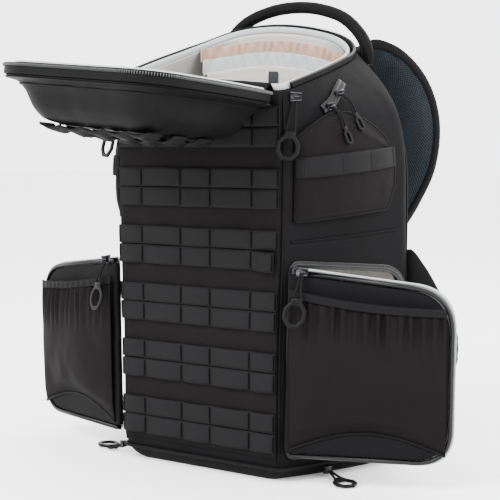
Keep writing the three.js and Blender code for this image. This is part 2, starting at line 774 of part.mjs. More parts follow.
function shoulderStrap() {
  const rings = strapLine.map((p, i) => {
    const before = strapLine[Math.max(i - 1, 0)];
    const after = strapLine[Math.min(i + 1, strapLine.length - 1)];
    const along = after.clone().sub(before).normalize();
    const thick = along.clone().cross(point(1, 0, 0)).normalize();
    const wide = thick.clone().cross(along).normalize();
    const [w, t] = [(strapRows[i].wide * strapWidth) / 2, strapThickness / 2];
    const section = [[-1, -0.45], [-0.86, -1], [0.86, -1], [1, -0.45], [1, 0.45], [0.86, 1], [-0.86, 1], [-1, 0.45]];
    return section.map(([a, b]) => p.clone().addScaledVector(wide, a * w).addScaledVector(thick, b * t));
  });
  return loft(rings);
}
addPair("shoulder_strap", shoulderStrap, "shell");

// Strap webbing: from the end of each shoulder strap down to the bottom corner of the back
const strapFoot = { across: 0.77, out: 2, high: 34 }; // where it is sewn into the back's lower corner
const strapSag = point(4, 8, -14); // how far its middle hangs from a straight line
function strapWebbing() {
  const end = strapLine.at(-1).clone();
  const foot = point((strapFoot.across * backWidth) / 2, back + strapFoot.out, strapFoot.high);
  const start = end.clone().add(point(0, 0, -strapThickness / 2 - clearance));
  const middle = start.clone().lerp(foot, 0.5).add(strapSag);
  const path = new THREE.QuadraticBezierCurve3(start, middle, foot).getPoints(6);
  const outward = (p, i, along) => along.clone().cross(point(1, 0, 0));
  return bar(path, outward, [[-webbingThickness / 2, webbingThickness / 2], [-webbingWidth / 2, webbingWidth / 2]]);
}
addPair("strap_webbing", strapWebbing, "webbing");

// Hip wings: padded, curving back from the lower sides of the back.
// Rows: out is a share of half the back's width, low and high are shares of the shoulder's height.
const wingRows = [
  { out: 0.8, reach: 0, low: 0.27, high: 0.7 },
  { out: 0.94, reach: 0, low: 0.25, high: 0.72 },
  { out: 1.015, reach: 0.17, low: 0.24, high: 0.67 },
  { out: 1.08, reach: 0.48, low: 0.25, high: 0.58 },
  { out: 1.125, reach: 0.82, low: 0.27, high: 0.49 },
  { out: 1.135, reach: 1, low: 0.32, high: 0.42 },
];
const wingReach = 44;
const wingEdge = 5; // the rounded edge above and below
const wingSeat = back + zipThickness + 2 * clearance; // the wings lie over the back zip

function hipWing() {
  const t = wingThickness / 2;
  const line = wingRows.map(({ out, reach }) => point((out * backWidth) / 2, wingSeat + t + reach * wingReach, 0));
  const rings = wingRows.map(({ low, high }, i) => {
    const along = line[Math.min(i + 1, line.length - 1)].clone().sub(line[Math.max(i - 1, 0)]).normalize();
    const out = along.clone().cross(point(0, 0, 1));
    const at = (o, z) => line[i].clone().addScaledVector(out, o * t).setZ(z * shoulderHeight);
    const edge = wingEdge / shoulderHeight;
    return [
      at(1, low + edge), at(1, high - edge), at(0, high),
      at(-1, high - edge), at(-1, low + edge), at(0, low),
    ];
  });
  return loft(rings);
}
addPair("hip_wing", hipWing, "shell");

// Side pockets: a bulging wall over the upper part of each side. Heights are shares of the shoulder's.
const pocket = { low: 0.832, lowBack: 0.865, high: 1.09, highMiddle: 1.161, highBack: 1.11 };
const pocketBulge = 15;
const pocketColumns = 12;
const pocketWall = 1.6;
const pocketSpan = [0.01, 0.93]; // shares of the side, front to back

function pocketHeight(u, v) {
  const low = mix(pocket.low, pocket.lowBack, u) + 0.02 * ease(u, 0.85, 1);
  const arch = Math.sin(Math.PI * Math.min(1, u * 1.15)) ** 0.8;
  const high = mix(pocket.high, pocket.highBack, u) + (pocket.highMiddle - pocket.high) * arch;
  return mix(low, high, v) * shoulderHeight;
}

function pocketOut(u, v) {
  const across = Math.sin(Math.PI * u ** 0.6);
  const upwards = Math.sin(Math.PI * mix(0.06, 0.94, v)) ** 0.55;
  return pocketBulge * across ** 0.8 * upwards;
}

const pocketPoint = (u, z, v, out, sign) =>
  sidePoint(mix(...pocketSpan, u), z, trimSeat + pocketOut(u, v) + out, sign);

function sidePocket(sign) {
  const face = (out) => grid(pocketColumns, 4, (u, v) => pocketPoint(u, pocketHeight(u, v), v, out, sign));
  return slab(face(pocketWall), face(0));
}
addPair("side_pocket", sidePocket, "panel");

// Side webbing: one strap over each side pocket
const sideWebbingHeight = { front: 0.968, back: 1.003 }; // its lower edge
function sideWebbing(sign) {
  const share = (z, u) => (z - pocketHeight(u, 0)) / (pocketHeight(u, 1) - pocketHeight(u, 0));
  const face = (out) =>
    grid(pocketColumns, 1, (u, v) => {
      const z = mix(sideWebbingHeight.front, sideWebbingHeight.back, u) * shoulderHeight + v * webbingWidth;
      return pocketPoint(u, z, share(z, u), pocketWall + trimSeat + out, sign);
    });
  return slab(face(webbingThickness), face(0));
}
addPair("side_webbing", sideWebbing, "webbing");

// Zip pulls: a slider, a doubled cord and a moulded grip with a window.
// from, via and to are the cord's run, from the slider to the grip's middle; across is the grip's width.
const grips = {
  hex: { wide: 19, tall: 26, rim: 4, corner: 0.24 },
  tab: { wide: 8, tall: 13, rim: 2.2, corner: 0.12 },
};
const gripThickness = 3;
const sliderSize = { along: 9, out: 4, wide: 7 };

function gripOutline({ wide, tall, corner }, inset) {
  const [w, h] = [wide / 2 - inset, tall / 2 - inset];
  const cut = tall * corner;
  return [[-w * 0.45, h], [w * 0.45, h], [w, h - cut], [w, cut - h], [w * 0.45, -h], [-w * 0.45, -h], [-w, cut - h], [-w, h - cut]]
    .map(([x, y]) => new THREE.Vector2(x, y));
}

function zipPull({ from, via = [], to, across, slider = across, grip }) {
  const run = [from, ...via, to];
  const down = to.clone().sub(run.at(-2)).normalize();
  const wide = across.clone().addScaledVector(down, -across.dot(down)).normalize();
  const facing = down.clone().cross(wide).normalize();
  const shape = new THREE.Shape(gripOutline(grips[grip], 0));
  shape.holes.push(new THREE.Path(gripOutline(grips[grip], grips[grip].rim).reverse()));
  const frame = new THREE.Matrix4().makeBasis(wide, down.clone().negate(), facing).setPosition(to);
  const ring = new THREE.ExtrudeGeometry(shape, { depth: gripThickness, bevelEnabled: false });
  ring.translate(0, 0, -gripThickness / 2).applyMatrix4(frame);
  const top = to.clone().addScaledVector(down, grips[grip].rim / 2 - grips[grip].tall / 2);
  const leg = (side) => {
    const spread = (p, share) => p.clone().addScaledVector(wide, side * mix(1.4, grips[grip].wide * 0.22, share));
    const points = [spread(from, 0), ...via.map((p, i) => spread(p, (i + 1) / run.length)), spread(top, 1)];
    return tube(points, cordRadius, 4, 1 + 2 * via.length);
  };
  const block = new THREE.BoxGeometry(sliderSize.along, sliderSize.out, sliderSize.wide);
  const along = slider.clone().normalize();
  const up = along.clone().cross(point(0, 0, 1)).normalize();
  const blockFrame = new THREE.Matrix4().makeBasis(along, up, along.clone().cross(up)).setPosition(from);
  return joined([block.applyMatrix4(blockFrame), leg(1), leg(-1), ring]);
}

// Pocket zips: a laminated zip running up and back above each pocket, with its sliders and pulls.
// high is a share of the front's height.
const pocketZipRun = [
  { along: 0.3, high: 0.936 },
  { along: 0.42, high: 0.957 },
  { along: 0.56, high: 0.987 },
  { along: 0.68, high: 1.008 },
];
const pocketPulls = [{ along: 0.38, high: 0.945, drop: 33 }, { along: 0.54, high: 0.976, drop: 33 }];
const pocketZipOut = zipThickness / 2 + trimSeat;

function pocketZip(sign) {
  const at = ({ along, high }, out) => sidePoint(along, high * rimFrontHeight, out, sign);
  const line = pocketZipRun.map((row) => at(row, pocketZipOut));
  const outward = (p, i) => at(pocketZipRun[i], 1).sub(at(pocketZipRun[i], 0));
  const tape = bar(line, outward, [[-zipThickness / 2, zipThickness / 2], [-zipWidth / 2, zipWidth / 2]]);
  const pulls = pocketPulls.map((row) => {
    const from = at(row, pocketZipOut + zipThickness / 2);
    const u = (row.along - pocketSpan[0]) / (pocketSpan[1] - pocketSpan[0]);
    const share = (z) => Math.min(1, (z - pocketHeight(u, 0)) / (pocketHeight(u, 1) - pocketHeight(u, 0)));
    const over = (z) => pocketPoint(u, z, share(z), pocketWall + gripThickness, sign);
    const via = [over(from.z - row.drop * 0.3)];
    const to = over(from.z - row.drop);
    return zipPull({ from, via, to, across: point(0.3, 1, 0), grip: "tab" });
  });
  return geometryOf([tape, ...pulls].map(solidOf).reduce((sum, next) => sum.add(next)));
}
addPair("pocket_zip", pocketZip, "zip");

// Side doors, each in its own frame: hinge line along z at x 0, the outer face towards -Y
const doorEdge = 4.5; // width of the zip edge round the door
const doorStart = { low: -2, high: 2.4 }; // the hinge edge follows the side wall
const pocketFoot = { ends: 12, middle: 31 }; // the pocket's curved lower seam, above the door's edge
const doorBandDrop = { hinge: 27, far: 31 }; // the band's lower edge, below the door's top
const doorBandWidth = 8;
const doorPleats = 14;
const pocketBag = 17; // how far the door's pocket stands off

const doorCorners = (grow) => [
  [doorStart.low, doorBottom + 2 - grow, 5],
  [doorLength + grow, doorBottom - grow, 34],
  [doorLength + 2 + grow, doorFarTop - 6 + grow, 40],
  [doorStart.high, doorTop + grow, 5],
];

function doorSlab(grow, from, to) {
  const outline = new THREE.Shape(roundedOutline(doorCorners(grow), 5));
  const slabGeometry = new THREE.ExtrudeGeometry(outline, { depth: to - from, bevelEnabled: false });
  const basis = new THREE.Matrix4().makeBasis(point(1, 0, 0), point(0, 0, 1), point(0, -1, 0));
  return slabGeometry.translate(0, 0, from).applyMatrix4(basis);
}

function doorZip() {
  const outline = roundedOutline(doorCorners(-doorEdge / 2), 5).map((p) => point(p.x, 0, p.y));
  const line = outline.slice(5, -5); // leaves the hinge side open
  const outward = () => point(0, -1, 0);
  return bar(line, outward, [[0.5, doorThickness + 0.5], [-doorEdge / 2 + clearance, doorEdge / 2]]);
}

const bandLow = (u) =>
  mix(doorTop - doorBandDrop.hinge, doorFarTop - doorBandDrop.far, u) - 3 * Math.sin(Math.PI * u);
const doorReach = (u) => mix(doorStart.high + 1.6, doorLength - doorEdge - 1.5, u);
function pocketSwell(u, v) {
  const across = Math.sin(Math.PI * mix(0.015, 0.985, u)) ** 0.5;
  const upwards = mix(0.36, 1, Math.sin(Math.PI * Math.min(1, v * 0.8)) ** 0.8) * ease(v, -0.01, 0.12);
  return pocketBag * across * upwards;
}

function doorPocket() {
  const face = (out) =>
    grid(doorPleats * 2, 4, (u, v) => {
      const up = v ** 0.8;
      const foot = doorBottom + mix(pocketFoot.ends, pocketFoot.middle, Math.sin(Math.PI * u));
      const z = mix(foot, bandLow(u) - clearance, up);
      const pleat = 1.3 * Math.cos(u * doorPleats * 2 * Math.PI) * ease(up, 0.45, 1);
      return point(doorReach(u), -doorThickness - 2 * clearance - pocketSwell(u, up) - pleat - out, z);
    });
  return slab(face(1.2), face(0));
}

function doorBandStrip() {
  const face = (out) =>
    grid(10, 1, (u, v) => {
      const y = -doorThickness - 1.2 - pocketSwell(u, 1) - out;
      return point(doorReach(u), y, bandLow(u) + v * doorBandWidth);
    });
  return slab(face(2.2), face(0));
}

const doors = [["right", 1, doorOpenRight], ["left", -1, doorOpenLeft]];
for (const [side, sign, open] of doors) {
  const door = new THREE.Group();
  door.position.set((sign * doorHingeWidth) / 2, front + doorHingeSetback, 0);
  door.scale.x = sign;
  door.rotation.z = sign * radians(90 - open);
  root.add(door);
  addPiece(`door_panel_${side}`, doorSlab(-doorEdge - clearance, 0, doorThickness), "shell", door);
  addPiece(`door_lining_${side}`, doorSlab(1.5, -3.4, -clearance), "pale", door);
  addPiece(`door_zip_${side}`, doorZip(), "zip", door);
  addPiece(`door_pocket_${side}`, doorPocket(), "panel", door);
  addPiece(`door_band_${side}`, doorBandStrip(), "webbing", door);
  const from = point(16, -doorThickness - 3.2, doorTop - 2);
  const via = [point(14, -doorThickness - pocketBag * 0.76, doorTop - 18)];
  const to = point(11, -doorThickness - pocketBag - 1, doorTop - 42);
  addPiece(`door_pull_${side}`, zipPull({ from, via, to, across: point(1, 0, 0), grip: "hex" }), "zip", door);
}

// Pulls of the lid's zip, hanging at the mouth's front corners, clear of the front's own corners
const lidPulls = [
  { name: "lid_pull_right", sign: 1, forward: 17, out: 1, drop: 45, across: point(0.81, 0.58, 0) },
  { name: "lid_pull_left", sign: -1, forward: 13, out: 8, drop: 64, across: point(0.9, -0.3, 0) },
];
const pullSetIn = { out: 6, back: 12, down: 7 }; // the slider's place off the mouth's front corner
for (const { name, sign, forward, out, drop, across } of lidPulls) {
  const x = (sign * mouthWidth) / 2;
  const y = front + pullSetIn.back;
  const from = point(x + sign * pullSetIn.out, y, rimHeight(x, y) - pullSetIn.down);
  const aside = sign * (out + (frontWidth - mouthWidth) / 2);
  const to = from.clone().add(point(aside, -forward, -drop));
  addPiece(name, zipPull({ from, to, across, grip: "hex" }), "zip");
}

// Pulls of the doorways' zips, lying on the floor beside the pack. The slider stands off the side wall
// at a share along it; bend and lie are where its cord and its grip come down, from the slider.
const floorPulls = [
  { side: "right", sign: 1, along: 0.34, high: 7, out: 7.6, bend: point(11, -4, -4), lie: point(34, -22, -4.5) },
  { side: "left", sign: -1, along: 0.04, high: 10.1, out: 14.3, bend: point(-15, 0, -7), lie: point(-34, 13, -7.5) },
];
for (const { side, sign, along, high, out, bend, lie } of floorPulls) {
  const from = sidePoint(along, high, out, sign).setZ(high);
  from.x *= sign;
  const [via, to] = [from.clone().add(bend), from.clone().add(lie)];
  const across = lie.clone().sub(bend).cross(upward);
  const pull = zipPull({ from, via: [via], to, across, slider: point(0, 1, 0), grip: "hex" });
  addPiece(`floor_pull_${side}`, pull, "zip");
}

export default root;
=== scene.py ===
# Open camera backpack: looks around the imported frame. Sizes in the dictionaries are millimetres.
import math

import bpy
import bmesh
import numpy as np
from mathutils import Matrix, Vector, noise


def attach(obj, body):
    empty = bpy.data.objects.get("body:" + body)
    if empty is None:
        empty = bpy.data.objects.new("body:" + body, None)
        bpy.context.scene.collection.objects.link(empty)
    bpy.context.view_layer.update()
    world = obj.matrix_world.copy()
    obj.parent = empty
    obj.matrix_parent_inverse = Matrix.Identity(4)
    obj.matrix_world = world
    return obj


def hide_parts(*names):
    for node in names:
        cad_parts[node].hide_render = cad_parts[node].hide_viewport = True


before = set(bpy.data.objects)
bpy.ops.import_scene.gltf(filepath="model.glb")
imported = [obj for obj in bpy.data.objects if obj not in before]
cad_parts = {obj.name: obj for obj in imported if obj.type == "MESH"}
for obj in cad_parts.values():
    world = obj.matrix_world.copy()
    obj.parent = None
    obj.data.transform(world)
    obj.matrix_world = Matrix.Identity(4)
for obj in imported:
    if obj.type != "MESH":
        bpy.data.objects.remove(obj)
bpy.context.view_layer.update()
mm = 0.001
print("frame loaded:", len(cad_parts), "nodes")


# number helpers
def mix(a, b, t):
    return a + (b - a) * t


def ease(x, low, high):
    t = min(1.0, max(0.0, (x - low) / (high - low)))
    return t * t * (3 - 2 * t)


def unit(v):
    v = np.asarray(v, float)
    return v / max(np.linalg.norm(v), 1e-9)


def spline(xs, ys, x):  # smooth curve through the rows of a table
    xs, ys = np.asarray(xs, float), np.asarray(ys, float)
    x = min(max(x, xs[0]), xs[-1])
    k = min(max(int(np.searchsorted(xs, x)) - 1, 0), len(xs) - 2)
    h = xs[k + 1] - xs[k]
    t = (x - xs[k]) / h
    slopes = [(ys[j + 1] - ys[j]) / (xs[j + 1] - xs[j]) for j in range(len(xs) - 1)]

    def tangent(i):
        if i == 0 or i == len(xs) - 1:
            return slopes[0 if i == 0 else -1]
        a, b = slopes[i - 1], slopes[i]
        return 0.0 if a * b <= 0 else 2 * a * b / (a + b)

    m0, m1 = tangent(k) * h, tangent(k + 1) * h
    return (
        (2 * t**3 - 3 * t**2 + 1) * ys[k] + (t**3 - 2 * t**2 + t) * m0
        + (3 * t**2 - 2 * t**3) * ys[k + 1] + (t**3 - t**2) * m1
    )


# the pack's own sizes, as in the frame
pack = {
    "depth": 165, "frontWidth": 212, "backWidth": 314, "rimFront": 391, "rimBack": 440, "rimArch": 20,
    "rimLean": 0.085, "mouthWidth": 210, "shoulder": 310, "wall": 8, "floor": 9, "cornerFront": 9,
    "cornerBack": 20, "mouthCornerBack": 50, "mouthCornerFront": 14, "sideSwell": 4,
}
front, back = -pack["depth"] / 2, pack["depth"] / 2
sections = np.array([  # height, half width at the front and the back, how far in at the front and the back
    [0, 0.8, 0.88, 0.075, 0.05],
    [0.014, 0.86, 0.93, 0.04, 0.022],
    [0.045, 0.935, 0.97, 0.012, 0.004],
    [0.09, 0.946, 0.98, 0, 0],
    [0.42, 0.955, 0.995, 0, 0],
    [0.72, 0.985, 1, 0, 0],
    [1, 1, 0.99, 0, 0],
])
mouthBlend = np.array([[0, 0], [0.25, 0.04], [0.5, 0.18], [0.7, 0.42], [0.85, 0.7], [1, 1]])
loopSteps = {"front": 26, "frontCorner": 6, "side": 56, "backCorner": 12, "back": 22}


# surface builders
def grid(columns, rows, make):
    return np.array([[make(c / columns, r / rows) for c in range(columns + 1)] for r in range(rows + 1)],
                    float)


def gridUv(points, closed):
    across = np.linalg.norm(np.diff(points, axis=1), axis=2).mean(0)
    up = np.linalg.norm(np.diff(points, axis=0), axis=2).mean(1)
    us = np.concatenate([[0], np.cumsum(across)])
    if closed:
        us = np.append(us, us[-1] + np.linalg.norm(points[:, 0] - points[:, -1], axis=1).mean())
    return us, np.concatenate([[0], np.cumsum(up)])


def meshObject(name, verts, faces, uvs, materials, faceMats=None, flat=False):
    mesh = bpy.data.meshes.new(name)
    mesh.from_pydata([tuple(v) for v in np.asarray(verts, float) * mm], [], faces)
    layer = mesh.uv_layers.new(name="cloth")
    flatUv = np.array([uv for face in uvs for uv in face], float).ravel() * mm
    layer.data.foreach_set("uv", flatUv)
    for material in materials:
        mesh.materials.append(material)
    if faceMats is not None:
        mesh.polygons.foreach_set("material_index", faceMats)
    mesh.polygons.foreach_set("use_smooth", [not flat] * len(mesh.polygons))
    obj = bpy.data.objects.new(name, mesh)
    bpy.context.scene.collection.objects.link(obj)
    return obj


def faceOut(obj):  # turns the faces of a closed mesh outwards
    bm = bmesh.new()
    bm.from_mesh(obj.data)
    bmesh.ops.recalc_face_normals(bm, faces=bm.faces)
    bm.to_mesh(obj.data)
    bm.free()
    return obj


def slabMesh(name, faceA, faceB, materials, closed=False, backMaterial=0):
    rows, cols = faceA.shape[:2]
    us, vs = gridUv(faceA, closed)
    verts = np.concatenate([faceA.reshape(-1, 3), faceB.reshape(-1, 3)])
    offset = rows * cols
    faces, uvs, mats = [], [], []
    at = lambda r, c: r * cols + c % cols
    spans = range(cols if closed else cols - 1)
    for r in range(rows - 1):
        for c in spans:
            quad = [at(r, c), at(r, c + 1), at(r + 1, c + 1), at(r + 1, c)]
            uv = [(us[c], vs[r]), (us[c + 1], vs[r]), (us[c + 1], vs[r + 1]), (us[c], vs[r + 1])]
            faces += [quad, [i + offset for i in reversed(quad)]]
            uvs += [uv, uv[::-1]]
            mats += [0, backMaterial]
    edge = []
    thick = float(np.linalg.norm(faceA[0, 0] - faceB[0, 0]))
    for c in spans:
        edge += [(at(0, c), at(0, c + 1), us[c], us[c + 1]), (at(rows - 1, c + 1), at(rows - 1, c),
            us[c + 1], us[c])]
    if not closed:
        for r in range(rows - 1):
            edge += [(at(r + 1, 0), at(r, 0), vs[r + 1], vs[r]), (at(r, cols - 1), at(r + 1, cols - 1),
                vs[r], vs[r + 1])]
    for a, b, ua, ub in edge:
        faces.append([b, a, a + offset, b + offset])
        uvs.append([(ub, 0), (ua, 0), (ua, thick), (ub, thick)])
        mats.append(0)
    return faceOut(meshObject(name, verts, faces, uvs, materials, mats))


def loftMesh(name, rings, materials, capped=True, looped=False):
    rings = np.asarray(rings, float)
    rows, cols = rings.shape[:2]
    us, vs = gridUv(rings, True)
    if looped:
        vs = np.append(vs, vs[-1] + np.linalg.norm(rings[0] - rings[-1], axis=1).mean())
    verts = list(rings.reshape(-1, 3))
    faces, uvs = [], []
    for r in range(rows if looped else rows - 1):
        n = (r + 1) % rows
        for c in range(cols):
            d = (c + 1) % cols
            faces.append([r * cols + c, r * cols + d, n * cols + d, n * cols + c])
            uvs.append([(us[c], vs[r]), (us[c + 1], vs[r]), (us[c + 1], vs[r + 1]), (us[c], vs[r + 1])])
    if capped and not looped:
        for r in (0, rows - 1):
            verts.append(rings[r].mean(0))
            centre = len(verts) - 1
            for c in range(cols):
                d = (c + 1) % cols
                faces.append([r * cols + c, r * cols + d, centre])
                uvs.append([(us[c], vs[r]), (us[c + 1], vs[r]), (us[c], vs[r] + 5)])
    return faceOut(meshObject(name, verts, faces, uvs, materials))


def frameAlong(points, outward, closed=False):  # along, out and side directions at each point of a path
    points = np.asarray(points, float)
    n = len(points)
    result = []
    for i in range(n):
        a = points[(i - 1) % n if closed else max(i - 1, 0)]
        b = points[(i + 1) % n if closed else min(i + 1, n - 1)]
        along = unit(b - a)
        out = outward(points[i], i, along) if callable(outward) else np.asarray(outward, float)
        out = unit(out - along * np.dot(out, along))
        result.append((along, out, np.cross(along, out)))
    return result


def sweep(name, points, outward, section, materials, closed=False):
    # section is a list of (out, side) points that is swept along the path
    frames = frameAlong(points, outward, closed)
    rings = [
        [p + out * o + side * s for o, s in section]
        for p, (along, out, side) in zip(np.asarray(points, float), frames)
    ]
    return loftMesh(name, rings, materials, looped=closed)


def roundSection(outRadius, sideRadius, count=10, power=1.0):
    turns = [2 * math.pi * i / count for i in range(count)]
    shape = lambda v: math.copysign(abs(v) ** power, v)
    return [(outRadius * shape(math.cos(t)), sideRadius * shape(math.sin(t))) for t in turns]


def smoothPath(points, count, closed=False):  # Catmull-Rom through the points
    pts = np.asarray(points, float)
    n = len(pts)
    spans = n if closed else n - 1
    at = lambda i: pts[i % n] if closed else pts[min(max(i, 0), n - 1)]
    result = []
    total = count if closed else count - 1
    for k in range(count):
        s = k / total * spans
        i = min(int(s), spans - 1)
        t = s - i
        p0, p1, p2, p3 = at(i - 1), at(i), at(i + 1), at(i + 2)
        result.append(
            0.5 * (2 * p1 + (p2 - p0) * t + (2 * p0 - 5 * p1 + 4 * p2 - p3) * t**2 + (3 * p1 - p0 - 3 * p2 + p3) * t**3)
        )
    return np.array(result)


def roundedLoop(corners, steps):  # straight sides with rounded corners; corners are x, y, radius
    points = []
    for i, (x, y, radius) in enumerate(corners):
        corner = np.array([x, y], float)
        before, after = np.array(corners[i - 1][:2], float), np.array(corners[(i + 1) % len(corners)][:2],
            float)
        a, b = corner + unit(before - corner) * radius, corner + unit(after - corner) * radius
        for k in range(steps + 1):
            t = k / steps
            points.append((1 - t) ** 2 * a + 2 * t * (1 - t) * corner + t * t * b)
    return np.array(points)


def evenly(points, spacing, closed=False):  # the same path at even steps
    pts = np.asarray(points, float)
    if closed:
        pts = np.vstack([pts, pts[:1]])
    lengths = np.concatenate([[0], np.cumsum(np.linalg.norm(np.diff(pts, axis=0), axis=1))])
    count = max(2, int(round(lengths[-1] / spacing)))
    marks = np.linspace(0, lengths[-1], count + 1)
    marks = marks[:-1] if closed else marks
    return np.array([[np.interp(m, lengths, pts[:, k]) for k in range(pts.shape[1])] for m in marks])


def wear(piece, slot, *nodes):  # every piece rides on the one body
    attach(piece, "root")
    if nodes:
        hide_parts(*nodes)
    return piece


# the pack's surfaces
def planHalf(frontHalf, backHalf, yFront, yBack, frontRadius, backRadius, swell):
    fc, bc = np.array([frontHalf, yFront]), np.array([backHalf, yBack])
    line = unit(bc - fc)
    marks = [np.array([0, yFront]), fc - [frontRadius, 0], fc + line * frontRadius, bc - line * backRadius,
             bc - [backRadius, 0], np.array([0, yBack])]
    half = []
    for name, a, b, corner in (
        ("front", marks[0], marks[1], None), ("frontCorner", marks[1], marks[2], fc),
        ("side", marks[2], marks[3], None), ("backCorner", marks[3], marks[4], bc),
        ("back", marks[4], marks[5], None),
    ):
        for i in range(loopSteps[name]):
            t = i / loopSteps[name]
            if corner is not None:
                p = (1 - t) ** 2 * a + 2 * t * (1 - t) * corner + t * t * b
            else:
                p = a + (b - a) * t
                if name == "side":
                    p = p + [swell * math.sin(math.pi * t), 0]
            half.append(p)
    return np.array(half + [marks[5]])


def planLoop(**sizes):
    half = planHalf(**sizes)
    left = half[1:-1][::-1] * [-1, 1]
    return np.vstack([half, left])


def sectionAt(z):
    share = z / pack["shoulder"]
    return [spline(sections[:, 0], sections[:, k], share) for k in range(1, 5)]


def bodySizes(z, inset):
    frontShare, backShare, frontIn, backIn = sectionAt(z)
    return {
        "frontHalf": frontShare * pack["frontWidth"] / 2 - inset,
        "backHalf": backShare * pack["backWidth"] / 2 - inset,
        "yFront": front + frontIn * pack["depth"] + inset, "yBack": back - backIn * pack["depth"] - inset,
        "frontRadius": pack["cornerFront"], "backRadius": pack["cornerBack"], "swell": pack["sideSwell"],
    }


def mouthSizes(inset):
    return {
        "frontHalf": pack["mouthWidth"] / 2 - inset, "backHalf": pack["mouthWidth"] / 2 + 2 - inset,
        "yFront": front + inset, "yBack": back - 4 - inset,
        "frontRadius": pack["mouthCornerFront"], "backRadius": pack["mouthCornerBack"], "swell": 2,
    }


def rimHeight(x, y):
    share = (y - front) / pack["depth"]
    arch = pack["rimArch"] * ease(share, 0.6, 1) * (1 - min(1, abs(2 * x) / pack["mouthWidth"]) ** 2)
    return mix(pack["rimFront"], pack["rimBack"], share) + arch - pack["rimLean"] * x


def ringBelow(z, inset):
    return np.array([[p[0], p[1], z] for p in planLoop(**bodySizes(z, inset))])


def ringAbove(up, inset):
    drawn = spline(mouthBlend[:, 0], mouthBlend[:, 1], up)
    lower = planLoop(**bodySizes(pack["shoulder"], inset))
    upper = planLoop(**mouthSizes(inset))
    heights = [rimHeight(p[0], p[1]) for p in upper]
    flat = lower + (upper - lower) * drawn
    return np.array([[p[0], p[1], mix(pack["shoulder"], h, up)] for p, h in zip(flat, heights)])


def sidePlan(sizes, along):
    fc, bc = np.array([sizes["frontHalf"], sizes["yFront"]]), np.array([sizes["backHalf"], sizes["yBack"]])
    line = unit(bc - fc)
    a, b = fc + line * sizes["frontRadius"], bc - line * sizes["backRadius"]
    return a + (b - a) * along + [sizes["swell"] * math.sin(math.pi * min(max(along, 0), 1)), 0]


def sidePoint(along, z, out, sign):  # a point off the side wall, in the right side's own half
    def planAt(height):
        if height <= pack["shoulder"]:
            return sidePlan(bodySizes(height, 0), along)
        lower, upper = sidePlan(bodySizes(pack["shoulder"], 0), along), sidePlan(mouthSizes(0), along)
        up = (height - pack["shoulder"]) / (rimHeight(sign * upper[0], upper[1]) - pack["shoulder"])
        return lower + (upper - lower) * spline(mouthBlend[:, 0], mouthBlend[:, 1], min(up, 1))

    here = planAt(z)
    lean = here[0] - planAt(z + 1)[0]
    flare = (pack["backWidth"] - pack["frontWidth"]) / 2 / pack["depth"]
    outward = unit([1, -flare, lean])
    p = np.array([here[0], here[1], z]) + outward * out
    return p * [sign, 1, 1]


def sideOut(along, z, sign):
    return unit(sidePoint(along, z, 1, sign) - sidePoint(along, z, 0, sign))


# materials
def addSocket(group, name, kind, side="INPUT", value=None):
    socket = group.interface.new_socket(name=name, in_out=side, socket_type=kind)
    if value is not None:
        socket.default_value = value
    return socket


class NodeBench:  # small helper for wiring nodes in one tree
    def __init__(self, tree):
        self.tree = tree
        self.links = tree.links

    def add(self, kind, **settings):
        node = self.tree.nodes.new(kind)
        for key, value in settings.items():
            setattr(node, key, value)
        return node

    def put(self, socket, value):
        if hasattr(value, "is_output"):
            self.links.new(value, socket)
        else:
            socket.default_value = value

    def math(self, operation, a, b=0.0, c=0.0):
        node = self.add("ShaderNodeMath", operation=operation)
        for socket, value in zip(node.inputs, (a, b, c)):
            self.put(socket, value)
        return node.outputs[0]

    def mixColor(self, mask, a, b):
        node = self.add("ShaderNodeMix", data_type="RGBA")
        self.put(node.inputs[0], mask)
        self.put(node.inputs[6], a)
        self.put(node.inputs[7], b)
        return node.outputs[2]


def threadGroup():  # woven threads from the cloth's own UV map: their height, and a mask for a painted highlight on the thread tops
    group = bpy.data.node_groups.new("wovenThreads", "ShaderNodeTree")
    addSocket(group, "Across Pitch", "NodeSocketFloat", value=0.0009)
    addSocket(group, "Along Pitch", "NodeSocketFloat", value=0.0009)
    addSocket(group, "Twill", "NodeSocketFloat", value=0.0)
    addSocket(group, "Height", "NodeSocketFloat", "OUTPUT")
    addSocket(group, "Painted Thread Highlight", "NodeSocketFloat", "OUTPUT")
    bench = NodeBench(group)
    given, result = bench.add("NodeGroupInput"), bench.add("NodeGroupOutput")
    cloth = bench.add("ShaderNodeUVMap", uv_map="cloth")
    split = bench.add("ShaderNodeSeparateXYZ")
    bench.links.new(cloth.outputs[0], split.inputs[0])
    turn = 2 * math.pi
    u = bench.math("DIVIDE", split.outputs[0], given.outputs["Across Pitch"])
    v = bench.math("DIVIDE", split.outputs[1], given.outputs["Along Pitch"])
    slanted = bench.math("MULTIPLY_ADD", v, given.outputs["Twill"], u)
    waveU = bench.math("SINE", bench.math("MULTIPLY", slanted, turn))
    waveV = bench.math("SINE", bench.math("MULTIPLY", v, turn))
    height = bench.math("MULTIPLY_ADD", bench.math("MULTIPLY", waveU, waveV), 0.5, 0.5)
    bench.links.new(height, result.inputs["Height"])
    # painted highlight mask: the weave's crowns, where the threads would catch the light
    bench.links.new(bench.math("POWER", height, 1.6), result.inputs["Painted Thread Highlight"])
    return group


